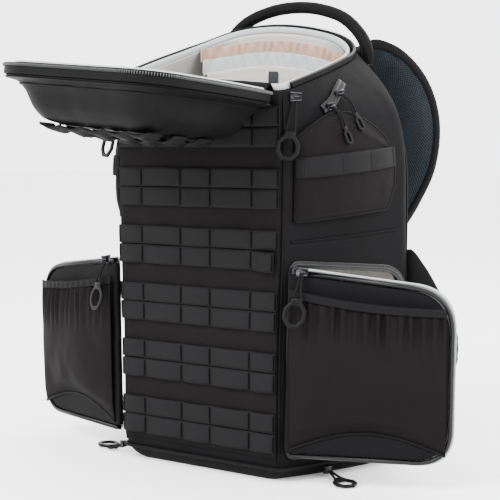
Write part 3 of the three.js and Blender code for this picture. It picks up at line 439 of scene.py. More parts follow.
def clothWearGroup():  # broad mottling, pressed places and dust, from Object coordinates
    group = bpy.data.node_groups.new("clothWear", "ShaderNodeTree")
    addSocket(group, "Mottle Size", "NodeSocketFloat", value=30.0)
    addSocket(group, "Dust Size", "NodeSocketFloat", value=160.0)
    addSocket(group, "Mottle", "NodeSocketFloat", "OUTPUT")
    addSocket(group, "Dust", "NodeSocketFloat", "OUTPUT")
    addSocket(group, "Rumple", "NodeSocketFloat", "OUTPUT")
    bench = NodeBench(group)
    given, result = bench.add("NodeGroupInput"), bench.add("NodeGroupOutput")
    place = bench.add("ShaderNodeTexCoord")
    for name, size, low, high in (("Mottle", "Mottle Size", 0.35, 0.68), ("Dust", "Dust Size", 0.56, 0.74)):
        noise = bench.add("ShaderNodeTexNoise")
        noise.inputs["Detail"].default_value = 4
        bench.links.new(place.outputs["Object"], noise.inputs["Vector"])
        bench.links.new(given.outputs[size], noise.inputs["Scale"])
        ramp = bench.add("ShaderNodeMapRange")
        bench.links.new(noise.outputs[0], ramp.inputs[0])
        ramp.inputs[1].default_value, ramp.inputs[2].default_value = low, high
        bench.links.new(ramp.outputs[0], result.inputs[name])
        if name == "Mottle":
            bench.links.new(noise.outputs[0], result.inputs["Rumple"])
    return group


threads, clothWear = threadGroup(), clothWearGroup()


def finish(name, look):  # one finish from its dictionary: colour, threads with a painted highlight on their tops, wear, roughness, bump
    material = bpy.data.materials.new(name)
    material.use_nodes = True
    tree = material.node_tree
    bench = NodeBench(tree)
    shader = tree.nodes["Principled BSDF"]
    wearNode = bench.add("ShaderNodeGroup", node_tree=clothWear)
    wearNode.inputs["Mottle Size"].default_value = look.get("mottleSize", 30)
    wearNode.inputs["Dust Size"].default_value = look.get("dustSize", 160)
    color = (*look["color"], 1)
    shade = tuple(c * (1 - look.get("mottle", 0.25)) for c in look["color"]) + (1,)
    base = bench.mixColor(wearNode.outputs["Mottle"], shade, color)
    height = bench.math("MULTIPLY", wearNode.outputs["Rumple"], look.get("rumple", 0.4))
    if "pitch" in look:
        weave = bench.add("ShaderNodeGroup", node_tree=threads)
        weave.inputs["Across Pitch"].default_value = look["pitch"][0] * mm
        weave.inputs["Along Pitch"].default_value = look["pitch"][1] * mm
        weave.inputs["Twill"].default_value = look.get("twill", 0)
        # thread tops are painted lighter: a painted highlight where the weave's crowns catch the light
        paintedThreadHighlight = tuple(min(1, c * (1 + look.get("paintedThreadHighlight", 0.5))) for c in look["color"]) + (1,)
        base = bench.mixColor(bench.math("MULTIPLY", weave.outputs["Painted Thread Highlight"], look.get("topsMask", 0.8)),
                              base, paintedThreadHighlight)
        height = bench.math("MULTIPLY_ADD", weave.outputs["Height"], look.get("relief", 0.5), height)
    dusty = tuple(mix(c, 0.3, look.get("dust", 0.004)) for c in look["color"]) + (1,)
    base = bench.mixColor(wearNode.outputs["Dust"], base, dusty)
    bench.links.new(base, shader.inputs["Base Color"])
    rough = look["rough"]
    bench.links.new(bench.math("MULTIPLY_ADD", wearNode.outputs["Mottle"], look.get("roughVary", 0.08),
                               rough),
                    shader.inputs["Roughness"])
    bump = bench.add("ShaderNodeBump")
    bump.inputs["Strength"].default_value = look.get("bump", 0.5)
    bump.inputs["Distance"].default_value = look.get("bumpDepth", 0.4) * mm
    bench.links.new(height, bump.inputs["Height"])
    bench.links.new(bump.outputs[0], shader.inputs["Normal"])
    isDark = max(look["color"]) < 0.03
    if isDark:
        shader.inputs["Specular IOR Level"].default_value = 0.035 if "pitch" in look else look.get("gloss",
            0.1)
    for socket, value in look.get("fixed", {}).items():
        shader.inputs[socket].default_value = value
    return material


# "tops" sets how much lighter the painted highlight on the thread tops is
finishes = {
    "bodyCloth": {"color": (0.0022, 0.0020, 0.0023), "rough": 0.62, "pitch": (1.5, 1.5), "paintedThreadHighlight": 1.3,
                  "bump": 0.8},
    "frontCloth": {"color": (0.0025, 0.0021, 0.0023), "rough": 0.66, "pitch": (1.5, 1.5), "paintedThreadHighlight": 1.3,
                   "bump": 0.8},
    "padCloth": {"color": (0.0026, 0.0025, 0.0027), "rough": 0.6, "pitch": (0.7, 0.7), "paintedThreadHighlight": 0.7,
                 "rumple": 0.7},
    "ribbedWebbing": {"color": (0.0040, 0.0040, 0.0043), "rough": 0.55, "pitch": (0.9, 2.1), "twill": 0.5,
                      "paintedThreadHighlight": 1.2, "relief": 0.9, "bump": 0.7},
    "elasticBand": {"color": (0.0034, 0.0034, 0.0037), "rough": 0.55, "pitch": (2.4, 0.8), "paintedThreadHighlight": 1.2,
                    "relief": 1.0, "bump": 0.8},
    "paleCloth": {"color": (0.245, 0.262, 0.268), "rough": 0.6, "pitch": (0.7, 0.7), "paintedThreadHighlight": 0.12,
                  "mottle": 0.1,
                  "dust": 0.1, "bump": 0.35, "fixed": {"Sheen Weight": 0.2}},
    "creamCloth": {"color": (0.30, 0.285, 0.262), "rough": 0.7, "pitch": (0.8, 0.8), "paintedThreadHighlight": 0.1,
                   "mottle": 0.08,
                   "dust": 0.08, "bump": 0.4, "fixed": {"Sheen Weight": 0.25}},
    "warmCloth": {"color": (0.245, 0.150, 0.108), "rough": 0.62, "pitch": (0.7, 0.7), "paintedThreadHighlight": 0.12,
                  "mottle": 0.22, "mottleSize": 55, "dust": 0.15, "bump": 0.4,
                  "fixed": {"Sheen Weight": 0.2}},
    "greyTab": {"color": (0.0200, 0.0225, 0.0250), "rough": 0.6, "pitch": (0.6, 0.6), "paintedThreadHighlight": 0.4},
    "zipTape": {"color": (0.0022, 0.0022, 0.0024), "rough": 0.42, "pitch": (0.8, 0.8), "paintedThreadHighlight": 0.6,
                "bump": 0.35},
    "coatedTape": {"color": (0.0019, 0.0019, 0.0021), "rough": 0.22, "gloss": 0.16, "rumple": 0.6,
                   "bump": 0.25, "dust": 0.004,
                   "roughVary": 0.12, "fixed": {"Coat Weight": 0.06, "Coat Roughness": 0.15}},
    "zipCoil": {"color": (0.0125, 0.0125, 0.0135), "rough": 0.3, "gloss": 0.5, "rumple": 0.2, "bump": 0.2,
                "mottle": 0.3},
    "mouldedRubber": {"color": (0.0016, 0.0016, 0.0018), "rough": 0.38, "gloss": 0.07, "rumple": 0.5,
                      "bump": 0.25,
                      "mottleSize": 120, "dust": 0.004},
    "cordBraid": {"color": (0.0029, 0.0029, 0.0031), "rough": 0.55, "pitch": (0.8, 1.1), "twill": 0.6,
                  "paintedThreadHighlight": 1.2},
    "sliderMetal": {"color": (0.0420, 0.0420, 0.0460), "rough": 0.3, "mottle": 0.45, "mottleSize": 260,
                    "dust": 0.08,
                    "rumple": 0.5, "bump": 0.15, "fixed": {"Metallic": 0.9}},
    "spacerMesh": {"color": (0.0120, 0.0150, 0.0180), "rough": 0.8, "pitch": (3.2, 3.2), "paintedThreadHighlight": 1.0,
                   "relief": 1.0,
                   "bump": 0.9, "bumpDepth": 0.9},
    "stitchThread": {"color": (0.0084, 0.0084, 0.0092), "rough": 0.5, "rumple": 0.4, "bump": 0.2,
                     "mottleSize": 300},
    "tackThread": {"color": (0.0006, 0.0006, 0.0006), "rough": 0.7, "gloss": 0.02, "rumple": 0.4, "bump": 0.2,
                   "mottleSize": 300, "dust": 0},
    "paleThread": {"color": (0.3024, 0.2952, 0.2808), "rough": 0.6, "rumple": 0.4, "bump": 0.2,
                   "mottleSize": 300},
    "pipingCord": {"color": (0.0025, 0.0024, 0.0026), "rough": 0.5, "pitch": (1.2, 1.0), "paintedThreadHighlight": 0.8,
                   "bump": 0.3},
    "mouldedShell": {"color": (0.0027, 0.0025, 0.0027), "rough": 0.48, "pitch": (0.9, 0.9), "paintedThreadHighlight": 0.7,
                     "rumple": 0.3, "bump": 0.35},
}
looks = {name: finish(name, look) for name, look in finishes.items()}
print("materials made:", len(looks))


# small repeated bodies along a path: stitches and zip teeth, made by one node tree
def repeatTree():
    tree = bpy.data.node_groups.new("repeatAlongPath", "GeometryNodeTree")
    tree.is_modifier = True
    sockets = {
        "path": addSocket(tree, "Path", "NodeSocketGeometry"),
        "size": addSocket(tree, "Body Size", "NodeSocketVector", value=(0.002, 0.0006, 0.0004)),
        "sides": addSocket(tree, "Sides", "NodeSocketInt", value=6),
        "rings": addSocket(tree, "Rings", "NodeSocketInt", value=4),
        "jitter": addSocket(tree, "Jitter", "NodeSocketFloat", value=0.0),
        "material": addSocket(tree, "Finish", "NodeSocketMaterial"),
    }
    addSocket(tree, "Bodies", "NodeSocketGeometry", "OUTPUT")
    bench = NodeBench(tree)
    given, result = bench.add("NodeGroupInput"), bench.add("NodeGroupOutput")
    bead = bench.add("GeometryNodeMeshUVSphere")
    bead.inputs["Radius"].default_value = 0.5
    bench.links.new(given.outputs["Sides"], bead.inputs["Segments"])
    bench.links.new(given.outputs["Rings"], bead.inputs["Rings"])
    sizing = bench.add("GeometryNodeTransform")
    bench.links.new(bead.outputs[0], sizing.inputs["Geometry"])
    bench.links.new(given.outputs["Body Size"], sizing.inputs["Scale"])
    along = bench.add("GeometryNodeInputNamedAttribute", data_type="FLOAT_VECTOR")
    along.inputs["Name"].default_value = "along"
    outwards = bench.add("GeometryNodeInputNamedAttribute", data_type="FLOAT_VECTOR")
    outwards.inputs["Name"].default_value = "outwards"
    first = bench.add("FunctionNodeAlignRotationToVector", axis="X")
    bench.links.new(along.outputs["Attribute"], first.inputs["Vector"])
    second = bench.add("FunctionNodeAlignRotationToVector", axis="Z", pivot_axis="X")
    bench.links.new(first.outputs[0], second.inputs["Rotation"])
    bench.links.new(outwards.outputs["Attribute"], second.inputs["Vector"])
    wobble = bench.add("FunctionNodeRandomValue", data_type="FLOAT")
    wobble.inputs["Seed"].default_value = 7
    bench.links.new(bench.math("SUBTRACT", 1.0, given.outputs["Jitter"]), wobble.inputs[2])
    bench.links.new(bench.math("ADD", 1.0, given.outputs["Jitter"]), wobble.inputs[3])
    place = bench.add("GeometryNodeInstanceOnPoints")
    bench.links.new(given.outputs["Path"], place.inputs["Points"])
    bench.links.new(sizing.outputs[0], place.inputs["Instance"])
    bench.links.new(second.outputs[0], place.inputs["Rotation"])
    bench.links.new(wobble.outputs[1], place.inputs["Scale"])
    real = bench.add("GeometryNodeRealizeInstances")
    bench.links.new(place.outputs[0], real.inputs[0])
    coloured = bench.add("GeometryNodeSetMaterial")
    bench.links.new(real.outputs[0], coloured.inputs[0])
    bench.links.new(given.outputs["Finish"], coloured.inputs["Material"])
    bench.links.new(coloured.outputs[0], result.inputs[0])
    return tree, {key: socket.identifier for key, socket in sockets.items()}


repeatNodes, repeatSockets = repeatTree()


def repeatAlong(name, points, alongs, outs, size, look, sides=6, rings=4, jitter=0.04):
    mesh = bpy.data.meshes.new(name)
    mesh.from_pydata([tuple(p) for p in np.asarray(points) * mm], [], [])
    for key, vectors in (("along", alongs), ("outwards", outs)):
        layer = mesh.attributes.new(key, "FLOAT_VECTOR", "POINT")
        layer.data.foreach_set("vector", np.asarray(vectors, float).ravel())
    holder = bpy.data.objects.new(name + "Points", mesh)
    bpy.context.scene.collection.objects.link(holder)
    modifier = holder.modifiers.new("repeat", "NODES")
    modifier.node_group = repeatNodes
    modifier[repeatSockets["size"]] = [v * mm for v in size]
    modifier[repeatSockets["sides"]] = sides
    modifier[repeatSockets["rings"]] = rings
    modifier[repeatSockets["jitter"]] = jitter
    modifier[repeatSockets["material"]] = look
    holder.update_tag()
    graph = bpy.context.evaluated_depsgraph_get()
    graph.update()
    made = bpy.data.meshes.new_from_object(holder.evaluated_get(graph))
    bpy.data.objects.remove(holder)
    made.polygons.foreach_set("use_smooth", [True] * len(made.polygons))
    obj = bpy.data.objects.new(name, made)
    bpy.context.scene.collection.objects.link(obj)
    return obj


class Run:  # gathers points with their directions, then makes one piece of them
    def __init__(self):
        self.points, self.alongs, self.outs = [], [], []

    def add(self, path, outward, spacing, lift=0.0, closed=False, across=False, shift=0.0):
        line = evenly(path, spacing, closed)
        for p, (along, out, side) in zip(line, frameAlong(line, outward, closed)):
            self.points.append(p + out * lift + side * shift)
            self.alongs.append(side if across else along)
            self.outs.append(out)

    def make(self, name, size, look, slot, **settings):
        obj = repeatAlong(name, self.points, self.alongs, self.outs, size, look, **settings)
        return wear(obj, slot)


def rumple(p, size, amount):  # smooth seeded folds
    v = Vector((float(p[0]), float(p[1]), float(p[2]))) / size
    return amount * (noise.noise(v) + 0.45 * noise.noise(v * 2.3 + Vector((7.1, 3.3, 1.7))))


upward = np.array([0, 0, 1.0])
outwardOf = lambda p, i, along: np.cross(along, upward)

# body shell
doorway = {"bottom": 26, "top": 217, "farTop": 204, "frontIn": 10, "backIn": 11, "steps": 14}
bodyFolds = {"size": 55, "amount": 0.9, "fine": 16, "fineAmount": 0.25, "mouthRows": 44}
doorwayLoop = roundedLoop([
    (front + doorway["frontIn"], doorway["bottom"], 8), (back - doorway["backIn"], doorway["bottom"], 30),
    (back - doorway["backIn"], doorway["farTop"], 34), (front + doorway["frontIn"], doorway["top"], 8),
], doorway["steps"])
doorwayFine = evenly(doorwayLoop, 1.0, True)


def insideDoorway(y, z):
    inside = False
    pts = doorwayLoop
    for (y0, z0), (y1, z1) in zip(pts, np.roll(pts, -1, axis=0)):
        if (z0 > z) != (z1 > z) and y < (y1 - y0) * (z - z0) / (z1 - z0) + y0:
            inside = not inside
    return inside


def bodyShell():
    levels = list(np.linspace(0, 0.09 * pack["shoulder"], 12)) + list(np.linspace(0.09, 1,
        84)[1:] * pack["shoulder"])
    ups = np.linspace(0, 1, bodyFolds["mouthRows"])[1:]
    outer = np.array([ringBelow(z, 0) for z in levels] + [ringAbove(up, 0) for up in ups])
    innerLevels = [z for z in levels if z > pack["floor"] + 2]
    inner = np.array([ringBelow(z, pack["wall"]) for z in innerLevels] + [ringAbove(up,
        pack["wall"]) for up in ups])
    cols = outer.shape[1]
    for rows, amount in ((outer, 1.0), (inner, 0.6)):
        for r in range(2, len(rows) - 2):
            for c in range(cols):
                p = rows[r, c]
                out = unit([p[0], p[1] * 1.4, 0])
                held = ease(r, 2, 8) * ease(len(rows) - r, 2, 8) * amount
                rows[r, c] = p + out * held * min(0.9, rumple(p, bodyFolds["size"], bodyFolds["amount"])
                                                  + rumple(p, bodyFolds["fine"], bodyFolds["fineAmount"])) * 0.8
    verts = list(outer.reshape(-1, 3)) + list(inner.reshape(-1, 3))
    shift = len(outer) * cols
    us, vs = gridUv(outer, True)
    faces, uvs, mats = [], [], []
    opened = {}

    def isOpen(p):
        key = (round(p[1], 3), round(p[2], 3))
        if key not in opened:
            opened[key] = abs(p[0]) > 80 and insideDoorway(p[1], p[2])
        return opened[key]

    holes = []
    for layer, rows in enumerate((outer, inner)):
        base = layer * shift
        gone = np.array([[isOpen(p) for p in ring] for ring in rows])
        for r in range(len(rows) - 1):
            for c in range(cols):
                d = (c + 1) % cols
                corner = [(r, c), (r, d), (r + 1, d), (r + 1, c)]
                if sum(gone[i][j] for i, j in corner) >= 3:
                    holes.append((layer, r, c))
                    continue
                face = [base + i * cols + j for i, j in corner]
                uv = [(us[c], vs[r]), (us[c + 1], vs[r]), (us[c + 1], vs[r + 1]), (us[c], vs[r + 1])]
                faces.append(face if layer == 0 else face[::-1])
                uvs.append(uv if layer == 0 else uv[::-1])
                mats.append(layer)
    uses = {}
    for face in faces:  # the doorways' free edges, moved onto the doorway's outline
        for a, b in zip(face, face[1:] + face[:1]):
            uses[(a, b)] = uses.get((a, b), 0) + 1
    last = {0: (len(outer) - 1) * cols, 1: shift + (len(inner) - 1) * cols}
    isRim = lambda i: i < cols or last[0] <= i < shift + cols or i >= last[1]
    free = [(a, b) for (a, b) in uses if (b, a) not in uses and not (isRim(a) and isRim(b))]
    flare = (pack["backWidth"] - pack["frontWidth"]) / 2 / pack["depth"]
    moved = {}
    for i in {i for edge in free for i in edge}:
        p = verts[i]
        best = doorwayFine[np.argmin(np.linalg.norm(doorwayFine - p[1:], axis=1))]
        step = best - p[1:]
        moved[i] = np.array([p[0] + math.copysign(flare * step[0], p[0]), best[0], best[1]])
    for i, p in moved.items():
        verts[i] = p
    outerFree = [e for e in free if e[0] < shift]
    innerFree = np.array([verts[e[0]] for e in free if e[0] >= shift])
    innerIds = [e[0] for e in free if e[0] >= shift]
    nearest = {}
    for a, b in outerFree:  # the wall's thickness round each doorway
        for i in (a, b):
            if i not in nearest:
                gap = np.abs(innerFree[:, 0] - verts[i][0]) * 0.1 + np.linalg.norm(innerFree[:,
                    1:] - verts[i][1:], axis=1)
                nearest[i] = innerIds[int(np.argmin(gap))]
        face = [b, a, nearest[a], nearest[b]] if nearest[a] != nearest[b] else [b, a, nearest[a]]
        faces.append(face)
        uvs.append([(0, 0), (2, 0), (2, 8), (0, 8)][:len(face)])
        mats.append(0)
    for c in range(cols):  # top rim, and the base and floor as fans
        d = (c + 1) % cols
        faces.append([last[0] + c, last[0] + d, last[1] + d, last[1] + c])
        uvs.append([(us[c], 0), (us[c + 1], 0), (us[c + 1], 8), (us[c], 8)])
        mats.append(0)
    for start, z, layer in ((0, 0, 0), (shift, pack["floor"], 1)):
        verts.append(np.array([0, 0, z]))
        centre = len(verts) - 1
        middle = []
        for c in range(cols):
            p = verts[start + c]
            verts.append(np.array([p[0] * 0.93, p[1] * 0.93, z]))
            middle.append(len(verts) - 1)
        for c in range(cols):
            d = (c + 1) % cols
            quad = [start + d, start + c, middle[c], middle[d]]
            fan = [middle[d], middle[c], centre]
            for face in (quad, fan):
                points = [verts[i] for i in face]
                faces.append(face if layer == 0 else face[::-1])
                uv = [(p[0], p[1]) for p in points]
                uvs.append(uv if layer == 0 else uv[::-1])
                mats.append(layer)
    obj = meshObject("bodyShell", verts, faces, uvs, [looks["bodyCloth"], looks["creamCloth"]], mats)
    bm = bmesh.new()
    bm.from_mesh(obj.data)
    holesLeft = [e for e in bm.edges if e.is_boundary]
    if holesLeft:
        bmesh.ops.holes_fill(bm, edges=holesLeft, sides=12)
    bmesh.ops.recalc_face_normals(bm, faces=bm.faces)
    print("body shell: edges left open", sum(e.is_boundary for e in bm.edges))
    bm.to_mesh(obj.data)
    bm.free()
    return wear(obj, "body_fabric", "body_shell")


bodyShell()


def doorwayOutward(sign):
    def outward(p, i, along):
        return sideOut(min(1, max(0, (p[1] + 68.7) / 129.5)), p[2], sign)
    return outward


def doorwayLine(sign, out):  # the doorway's outline on the outside of one wall
    def place(y, z):
        low, high = -0.3, 1.3
        for _ in range(24):
            middle = (low + high) / 2
            if sidePoint(middle, z, 0, sign)[1] < y:
                low = middle
            else:
                high = middle
        return sidePoint(low, z, out, sign)
    return np.array([place(y, z) for y, z in evenly(doorwayLoop, 3.2, True)])


doorwayTape = {"width": 7.5, "thick": 1.4, "coilPitch": 1.35}
coils = Run()
for side, sign in (("Right", 1), ("Left", -1)):
    line = doorwayLine(sign, 0.2)
    half = doorwayTape["width"] / 2
    section = [(doorwayTape["thick"] * o, half * s) for o, s in
               ((0, -1), (0.8, -1), (1, -0.8), (1, 0.8), (0.8, 1), (0, 1))]
    tape = sweep("doorwayTape" + side, line, doorwayOutward(sign), section, [looks["coatedTape"]],
                 closed=True)
    wear(tape, "zip_coil")
    coils.add(line, doorwayOutward(sign), doorwayTape["coilPitch"], lift=1.5, closed=True, across=True)
coils.make("doorwayCoils", (2.4, 1.0, 1.2), looks["zipCoil"], "zip_coil", sides=6, rings=4)
print("body shell and doorways made")


# front panel
def frontHalfAt(z):
    return (sectionAt(z)[0] if z <= pack["shoulder"] else 1) * pack["frontWidth"] / 2


def frontInAt(z):
    return sectionAt(z)[2] * pack["depth"] if z <= pack["shoulder"] else 0.0


frontSheet = {"thick": 2.4, "bottom": 24, "drop": 7, "gap": 0.35, "columns": 110, "rows": 150, "rumple": 0.35}


def frontPoint(across, z, out):
    half = frontHalfAt(z) - pack["cornerFront"] / 3
    return np.array([across * half, front + frontInAt(z) - out, z])


def frontPanel():
    top = pack["rimFront"] - frontSheet["drop"]

    def face(out, moving):
        def make(u, v):
            z = mix(frontSheet["bottom"], top, v)
            p = frontPoint(2 * u - 1, z, out)
            edge = ease(min(u, 1 - u, v, 1 - v), 0, 0.03)
            rolled = (1 - edge) * moving * 1.3
            return p + [0, rolled - moving * edge * rumple(p, 22, frontSheet["rumple"]), 0]
        return grid(frontSheet["columns"], frontSheet["rows"], make)

    outer = face(frontSheet["gap"] + frontSheet["thick"], 1)
    return wear(slabMesh("frontPanel", outer, face(frontSheet["gap"], 0), [looks["frontCloth"]]),
                "front_fabric", "front_panel")


frontPanel()

# webbing on the front: six pairs of straps, sewn down at each stitch column
straps = {"width": 20, "thick": 1.6, "drop": 21, "pitch": 60, "gap": 0.45, "slack": 2.2, "cell": 18,
          "rows": 6,
          "slackOf": [1, 0.9, 1.25, 1, 1.1, 1.2], "looseDrop": 2.5}
stitchColumns = [-1, -0.688, -0.186, 0.186, 0.688, 1]
strapBase = frontSheet["thick"] + 2 * frontSheet["gap"]
barTacks = Run()


def strapPoint(pair, row, cellShare, v, out):
    top = pack["rimFront"] - straps["drop"] - pair * straps["pitch"] - row * straps["width"]
    cell = min(int(cellShare), len(stitchColumns) - 2)
    t = cellShare - cell
    across = mix(stitchColumns[cell], stitchColumns[cell + 1], t)
    isLower = row == 1
    loose = straps["looseDrop"] * ease(across, 0.6, 1) if isLower and pair == 2 else 0
    z = mix(top - straps["width"] + straps["gap"], top - straps["gap"], v)
    seed = pair * 7.3 + row * 3.1 + cell * 1.7
    sag = 0.7 * noise.noise(Vector((seed, across * 1.5, 0.3))) * math.sin(math.pi * t)
    openShare = 1 - v if isLower else v
    flat = ease(t, 0, 0.16) * ease(1 - t, 0, 0.16)
    lift = straps["slack"] * straps["slackOf"][pair] * math.sin(math.pi * t) ** 0.8 * mix(0.3, 1,
        openShare) * flat
    lift *= 1 + 0.35 * noise.noise(Vector((seed, v * 2, 1.1)))
    crown = 0.25 * (1 - abs(2 * v - 1) ** 4)
    reach = frontHalfAt(z) - pack["cornerFront"] / 3 - (straps["looseDrop"] if loose and across > 0.8 else 0)
    return np.array([across * reach, front + frontInAt(z) - out - lift - crown - loose * 1.8,
                     z + sag - loose * 0.5])


for pair in range(6):
    for row in (0, 1):
        cells = len(stitchColumns) - 1
        face = lambda out: grid(cells * straps["cell"], straps["rows"],
                                lambda u, v: strapPoint(pair, row, u * cells, v, out))
        node = f"webbing_{pair + 1}_{'lower' if row else 'upper'}"
        name = f"frontStrap{pair + 1}{'Lower' if row else 'Upper'}"
        strap = slabMesh(name, face(strapBase + straps["thick"] - 0.2), face(strapBase),
                         [looks["ribbedWebbing"]])
        wear(strap, "webbing", node)
        for k in range(cells + 1):  # bar tacks across each stitch column
            edge = -0.035 if k == cells else 0.035 if k == 0 else 0
            for shift in (-0.008, 0.008):
                at = [strapPoint(pair, row, min(cells - 1e-6, max(0, k + edge + shift)), v, strapBase + 1.75)
                      for v in np.linspace(0.1, 0.9, 8)]
                barTacks.add(at, (0, -1, 0), 1.15, lift=0.1, across=True)
barTacks.make("barTacks", (2.0, 1.0, 0.6), looks["tackThread"], "webbing", sides=5, rings=3)

sewing = Run()
for across in (-0.985, 0.985):
    sewing.add([frontPoint(across, z, 3.0) for z in np.linspace(28, 380, 80)], (0, -1, 0), 3.0)
sewing.add([frontPoint(a, 381, 3.0) for a in np.linspace(-0.97, 0.97, 40)], (0, -1, 0), 3.0)
sewing.add([frontPoint(a, 28, 3.0) for a in np.linspace(-0.97, 0.97, 40)], (0, -1, 0), 3.0)
print("front panel and webbing made")

# base piping and the front corners' piping
piping = {"radius": 1.8, "gap": 0.35, "height": 0.045}
pipeLine = ringBelow(piping["height"] * pack["shoulder"], -(piping["radius"] + piping["gap"]))
basePiping = sweep("basePiping", pipeLine, lambda p, i, a: np.cross(a, upward), roundSection(1.8, 1.8, 10),
                   [looks["pipingCord"]], closed=True)
wear(basePiping, "zip_coil", "base_piping")
for side, sign in (("Right", 1), ("Left", -1)):
    # welt up each front corner, from the base to the mouth
    def corner(z):
        half = frontHalfAt(z) if z <= pack["shoulder"] else mix(
            frontHalfAt(pack["shoulder"]), pack["mouthWidth"] / 2,
            spline(mouthBlend[:, 0], mouthBlend[:, 1],
                   (z - pack["shoulder"]) / (rimHeight(sign * 105, front) - pack["shoulder"])))
        return np.array([sign * (half - 1.9), front + frontInAt(z) + 1.9, z])
    line = [corner(z) for z in np.linspace(20, rimHeight(sign * 105, front) - 6, 90)]
    welt = sweep("cornerWelt" + side, line, (sign, -1, 0), roundSection(1.3, 1.3, 8), [looks["pipingCord"]])
    wear(welt, "body_fabric")

# mouth: zip tape with its coil outside, pale padded binding inside
mouth = {"coilPitch": 2.4}
hingeSteps = loopSteps["front"] + loopSteps["frontCorner"]


def rimLoop(inset):
    return np.array([[p[0], p[1], rimHeight(p[0], p[1])] for p in planLoop(**mouthSizes(inset))])


zipLine = rimLoop(1.9)[hingeSteps:-hingeSteps + 1]
section = [(-1.2, 0.6), (0.9, 0.6), (1.3, -1), (1.3, -5), (0.9, -6.4), (-1.2, -6.4)]
section = [(o, s - 0.4) for o, s in section]
wear(sweep("mouthZipTape", zipLine, outwardOf, section, [looks["zipTape"]]), "zip_coil", "mouth_zip")
coils = Run()
coils.add(zipLine, outwardOf, mouth["coilPitch"], lift=1.2, shift=-6.2)
coils.make("mouthZipCoil", (1.35, 3.2, 3.0), looks["zipCoil"], "zip_coil")
bindLine = rimLoop(6.2)
roll = []
frames = frameAlong(bindLine, outwardOf, True)
for i, (p, (along, out, side)) in enumerate(zip(bindLine, frames)):
    bulge = 1 + 0.14 * noise.noise(Vector(p) / 14)
    roll.append([p + out * o * bulge + side * s for o, s in
                 [(ro, rs - 2.6) for ro, rs in roundSection(2.3, 3.6, 14, 0.8)]])
binding = loftMesh("mouthBinding", roll, [looks["paleCloth"]], looped=True)
wear(binding, "pale_lining", "mouth_binding")
paleSewing = Run()
paleSewing.add(rimLoop(7.9), lambda p, i, a: -outwardOf(p, i, a), 3.0, lift=0.9, closed=True, shift=-4.3)
print("mouth made")


# linings on the back wall inside
def backInside(across, depth, out):
    reach = (pack["mouthWidth"] / 2 - pack["wall"]) * across
    side = abs(across) ** 6
    y = back - 4 - pack["wall"] - out - side * pack["mouthCornerBack"] * 0.55
    rim = rimHeight(reach, back - 4 - pack["wall"])
    return np.array([reach * (1 - (0.06 * out) / pack["wall"] * side), y, rim - depth])


linings = [
    {"name": "gatheredBand", "node": "lining_gathered_band", "look": "warmCloth", "slot": "warm_lining",
     "top": 8, "low": 23, "out": 2.2, "reach": 0.98, "pleats": 17, "deep": 1.7, "held": "gathered"},
    {"name": "middleBand", "node": "lining_middle_band", "look": "paleCloth", "slot": "pale_lining",
     "top": 21, "low": 38, "out": 5.2, "reach": 0.96, "pleats": 11, "deep": 1.1, "held": "gathered"},
    {"name": "innerBackPanel", "node": "lining_back_panel", "look": "creamCloth", "slot": "cream_lining",
     "top": 36, "low": 210, "out": 8, "reach": 0.92, "pleats": 0, "deep": 0, "held": "stretched"},
]


def clothSize(points):  # flat width, length and area of a grid of points
    across = np.linalg.norm(np.diff(points, axis=1), axis=2).sum(1).max()
    up = np.linalg.norm(np.diff(points, axis=0), axis=2).sum(0).max()
    e1, e2 = points[:-1, 1:] - points[:-1, :-1], points[1:, :-1] - points[:-1, :-1]
    area = np.linalg.norm(np.cross(e1, e2), axis=2).sum()
    return across * mm, up * mm, min(area * mm * mm, across * up * mm * mm)


for lining in linings:
    def face(out):
        def make(u, v):
            depth = mix(lining["low"], lining["top"], v)
            folds = lining["pleats"] * 2 * math.pi * (u + 0.012 * math.sin(u * 31))
            pleat = math.cos(folds) * lining["deep"] * mix(1, 0.35,
                                                           abs(2 * v - 1) ** 2) if lining["pleats"] else 0
            pleat += 0.4 * math.sin(folds * 2.7 + 5 * v) * (1 if lining["pleats"] else 0) * 0.5
            p = backInside(mix(-lining["reach"], lining["reach"], u), depth, lining["out"] + out + pleat)
            return p - [0, rumple(p, 24, 0.5), 0]
        return grid(240 if lining["pleats"] else 90, 16 if lining["pleats"] else 70, make)
    outer = face(1.3)
    cloth = slabMesh(lining["name"], outer, face(0), [looks[lining["look"]]])
    wear(cloth, lining["slot"], lining["node"])
    flatWidth, flatLength, area = clothSize(outer)
for depth in (41, 49):
    paleSewing.add([backInside(a, depth, 9.6) for a in np.linspace(-0.86, 0.86, 60)], (0, -1, 0), 3.2)
paleSewing.make("paleStitches", (2.3, 0.6, 0.45), looks["paleThread"], "cream_lining", sides=5, rings=3)

tab = {"width": 13, "top": 42, "low": 58, "thick": 1.2, "out": 9.95}


def tabFace(out):
    def make(u, v):
        rounded = 1 - 0.06 * (abs(2 * v - 1) ** 6)
        x = mix(-tab["width"], 0, 0.5 + (u - 0.5) * rounded)
        bow = 0.6 * math.sin(math.pi * v)
        return backInside(x / (pack["mouthWidth"] / 2), mix(tab["low"], tab["top"], v),
                          tab["out"] + out + bow)
    return grid(14, 16, make)


wear(slabMesh("innerTab", tabFace(tab["thick"]), tabFace(0), [looks["greyTab"]]), "grey_tag", "lining_tab")
print("linings made")


# lid: built level in its own frame, hinge along y 0 and the dome below, then laid forward
lid = {"length": 182, "depth": 54, "wall": 3.5, "rise": 0.065, "corner": 46, "lining": 1.5, "proud": 2,
       "steps": 9}
lidRows = np.array([  # down as a share of the depth, in as a share of half the width
    [0, 0.034], [0.2, 0.034], [0.23, 0.012], [0.28, 0.1], [0.42, 0.165], [0.72, 0.25], [0.87, 0.33],
    [0.95, 0.46], [1, 0.74],
])
lidInner = lidRows[[0, 3, 5, 8]]


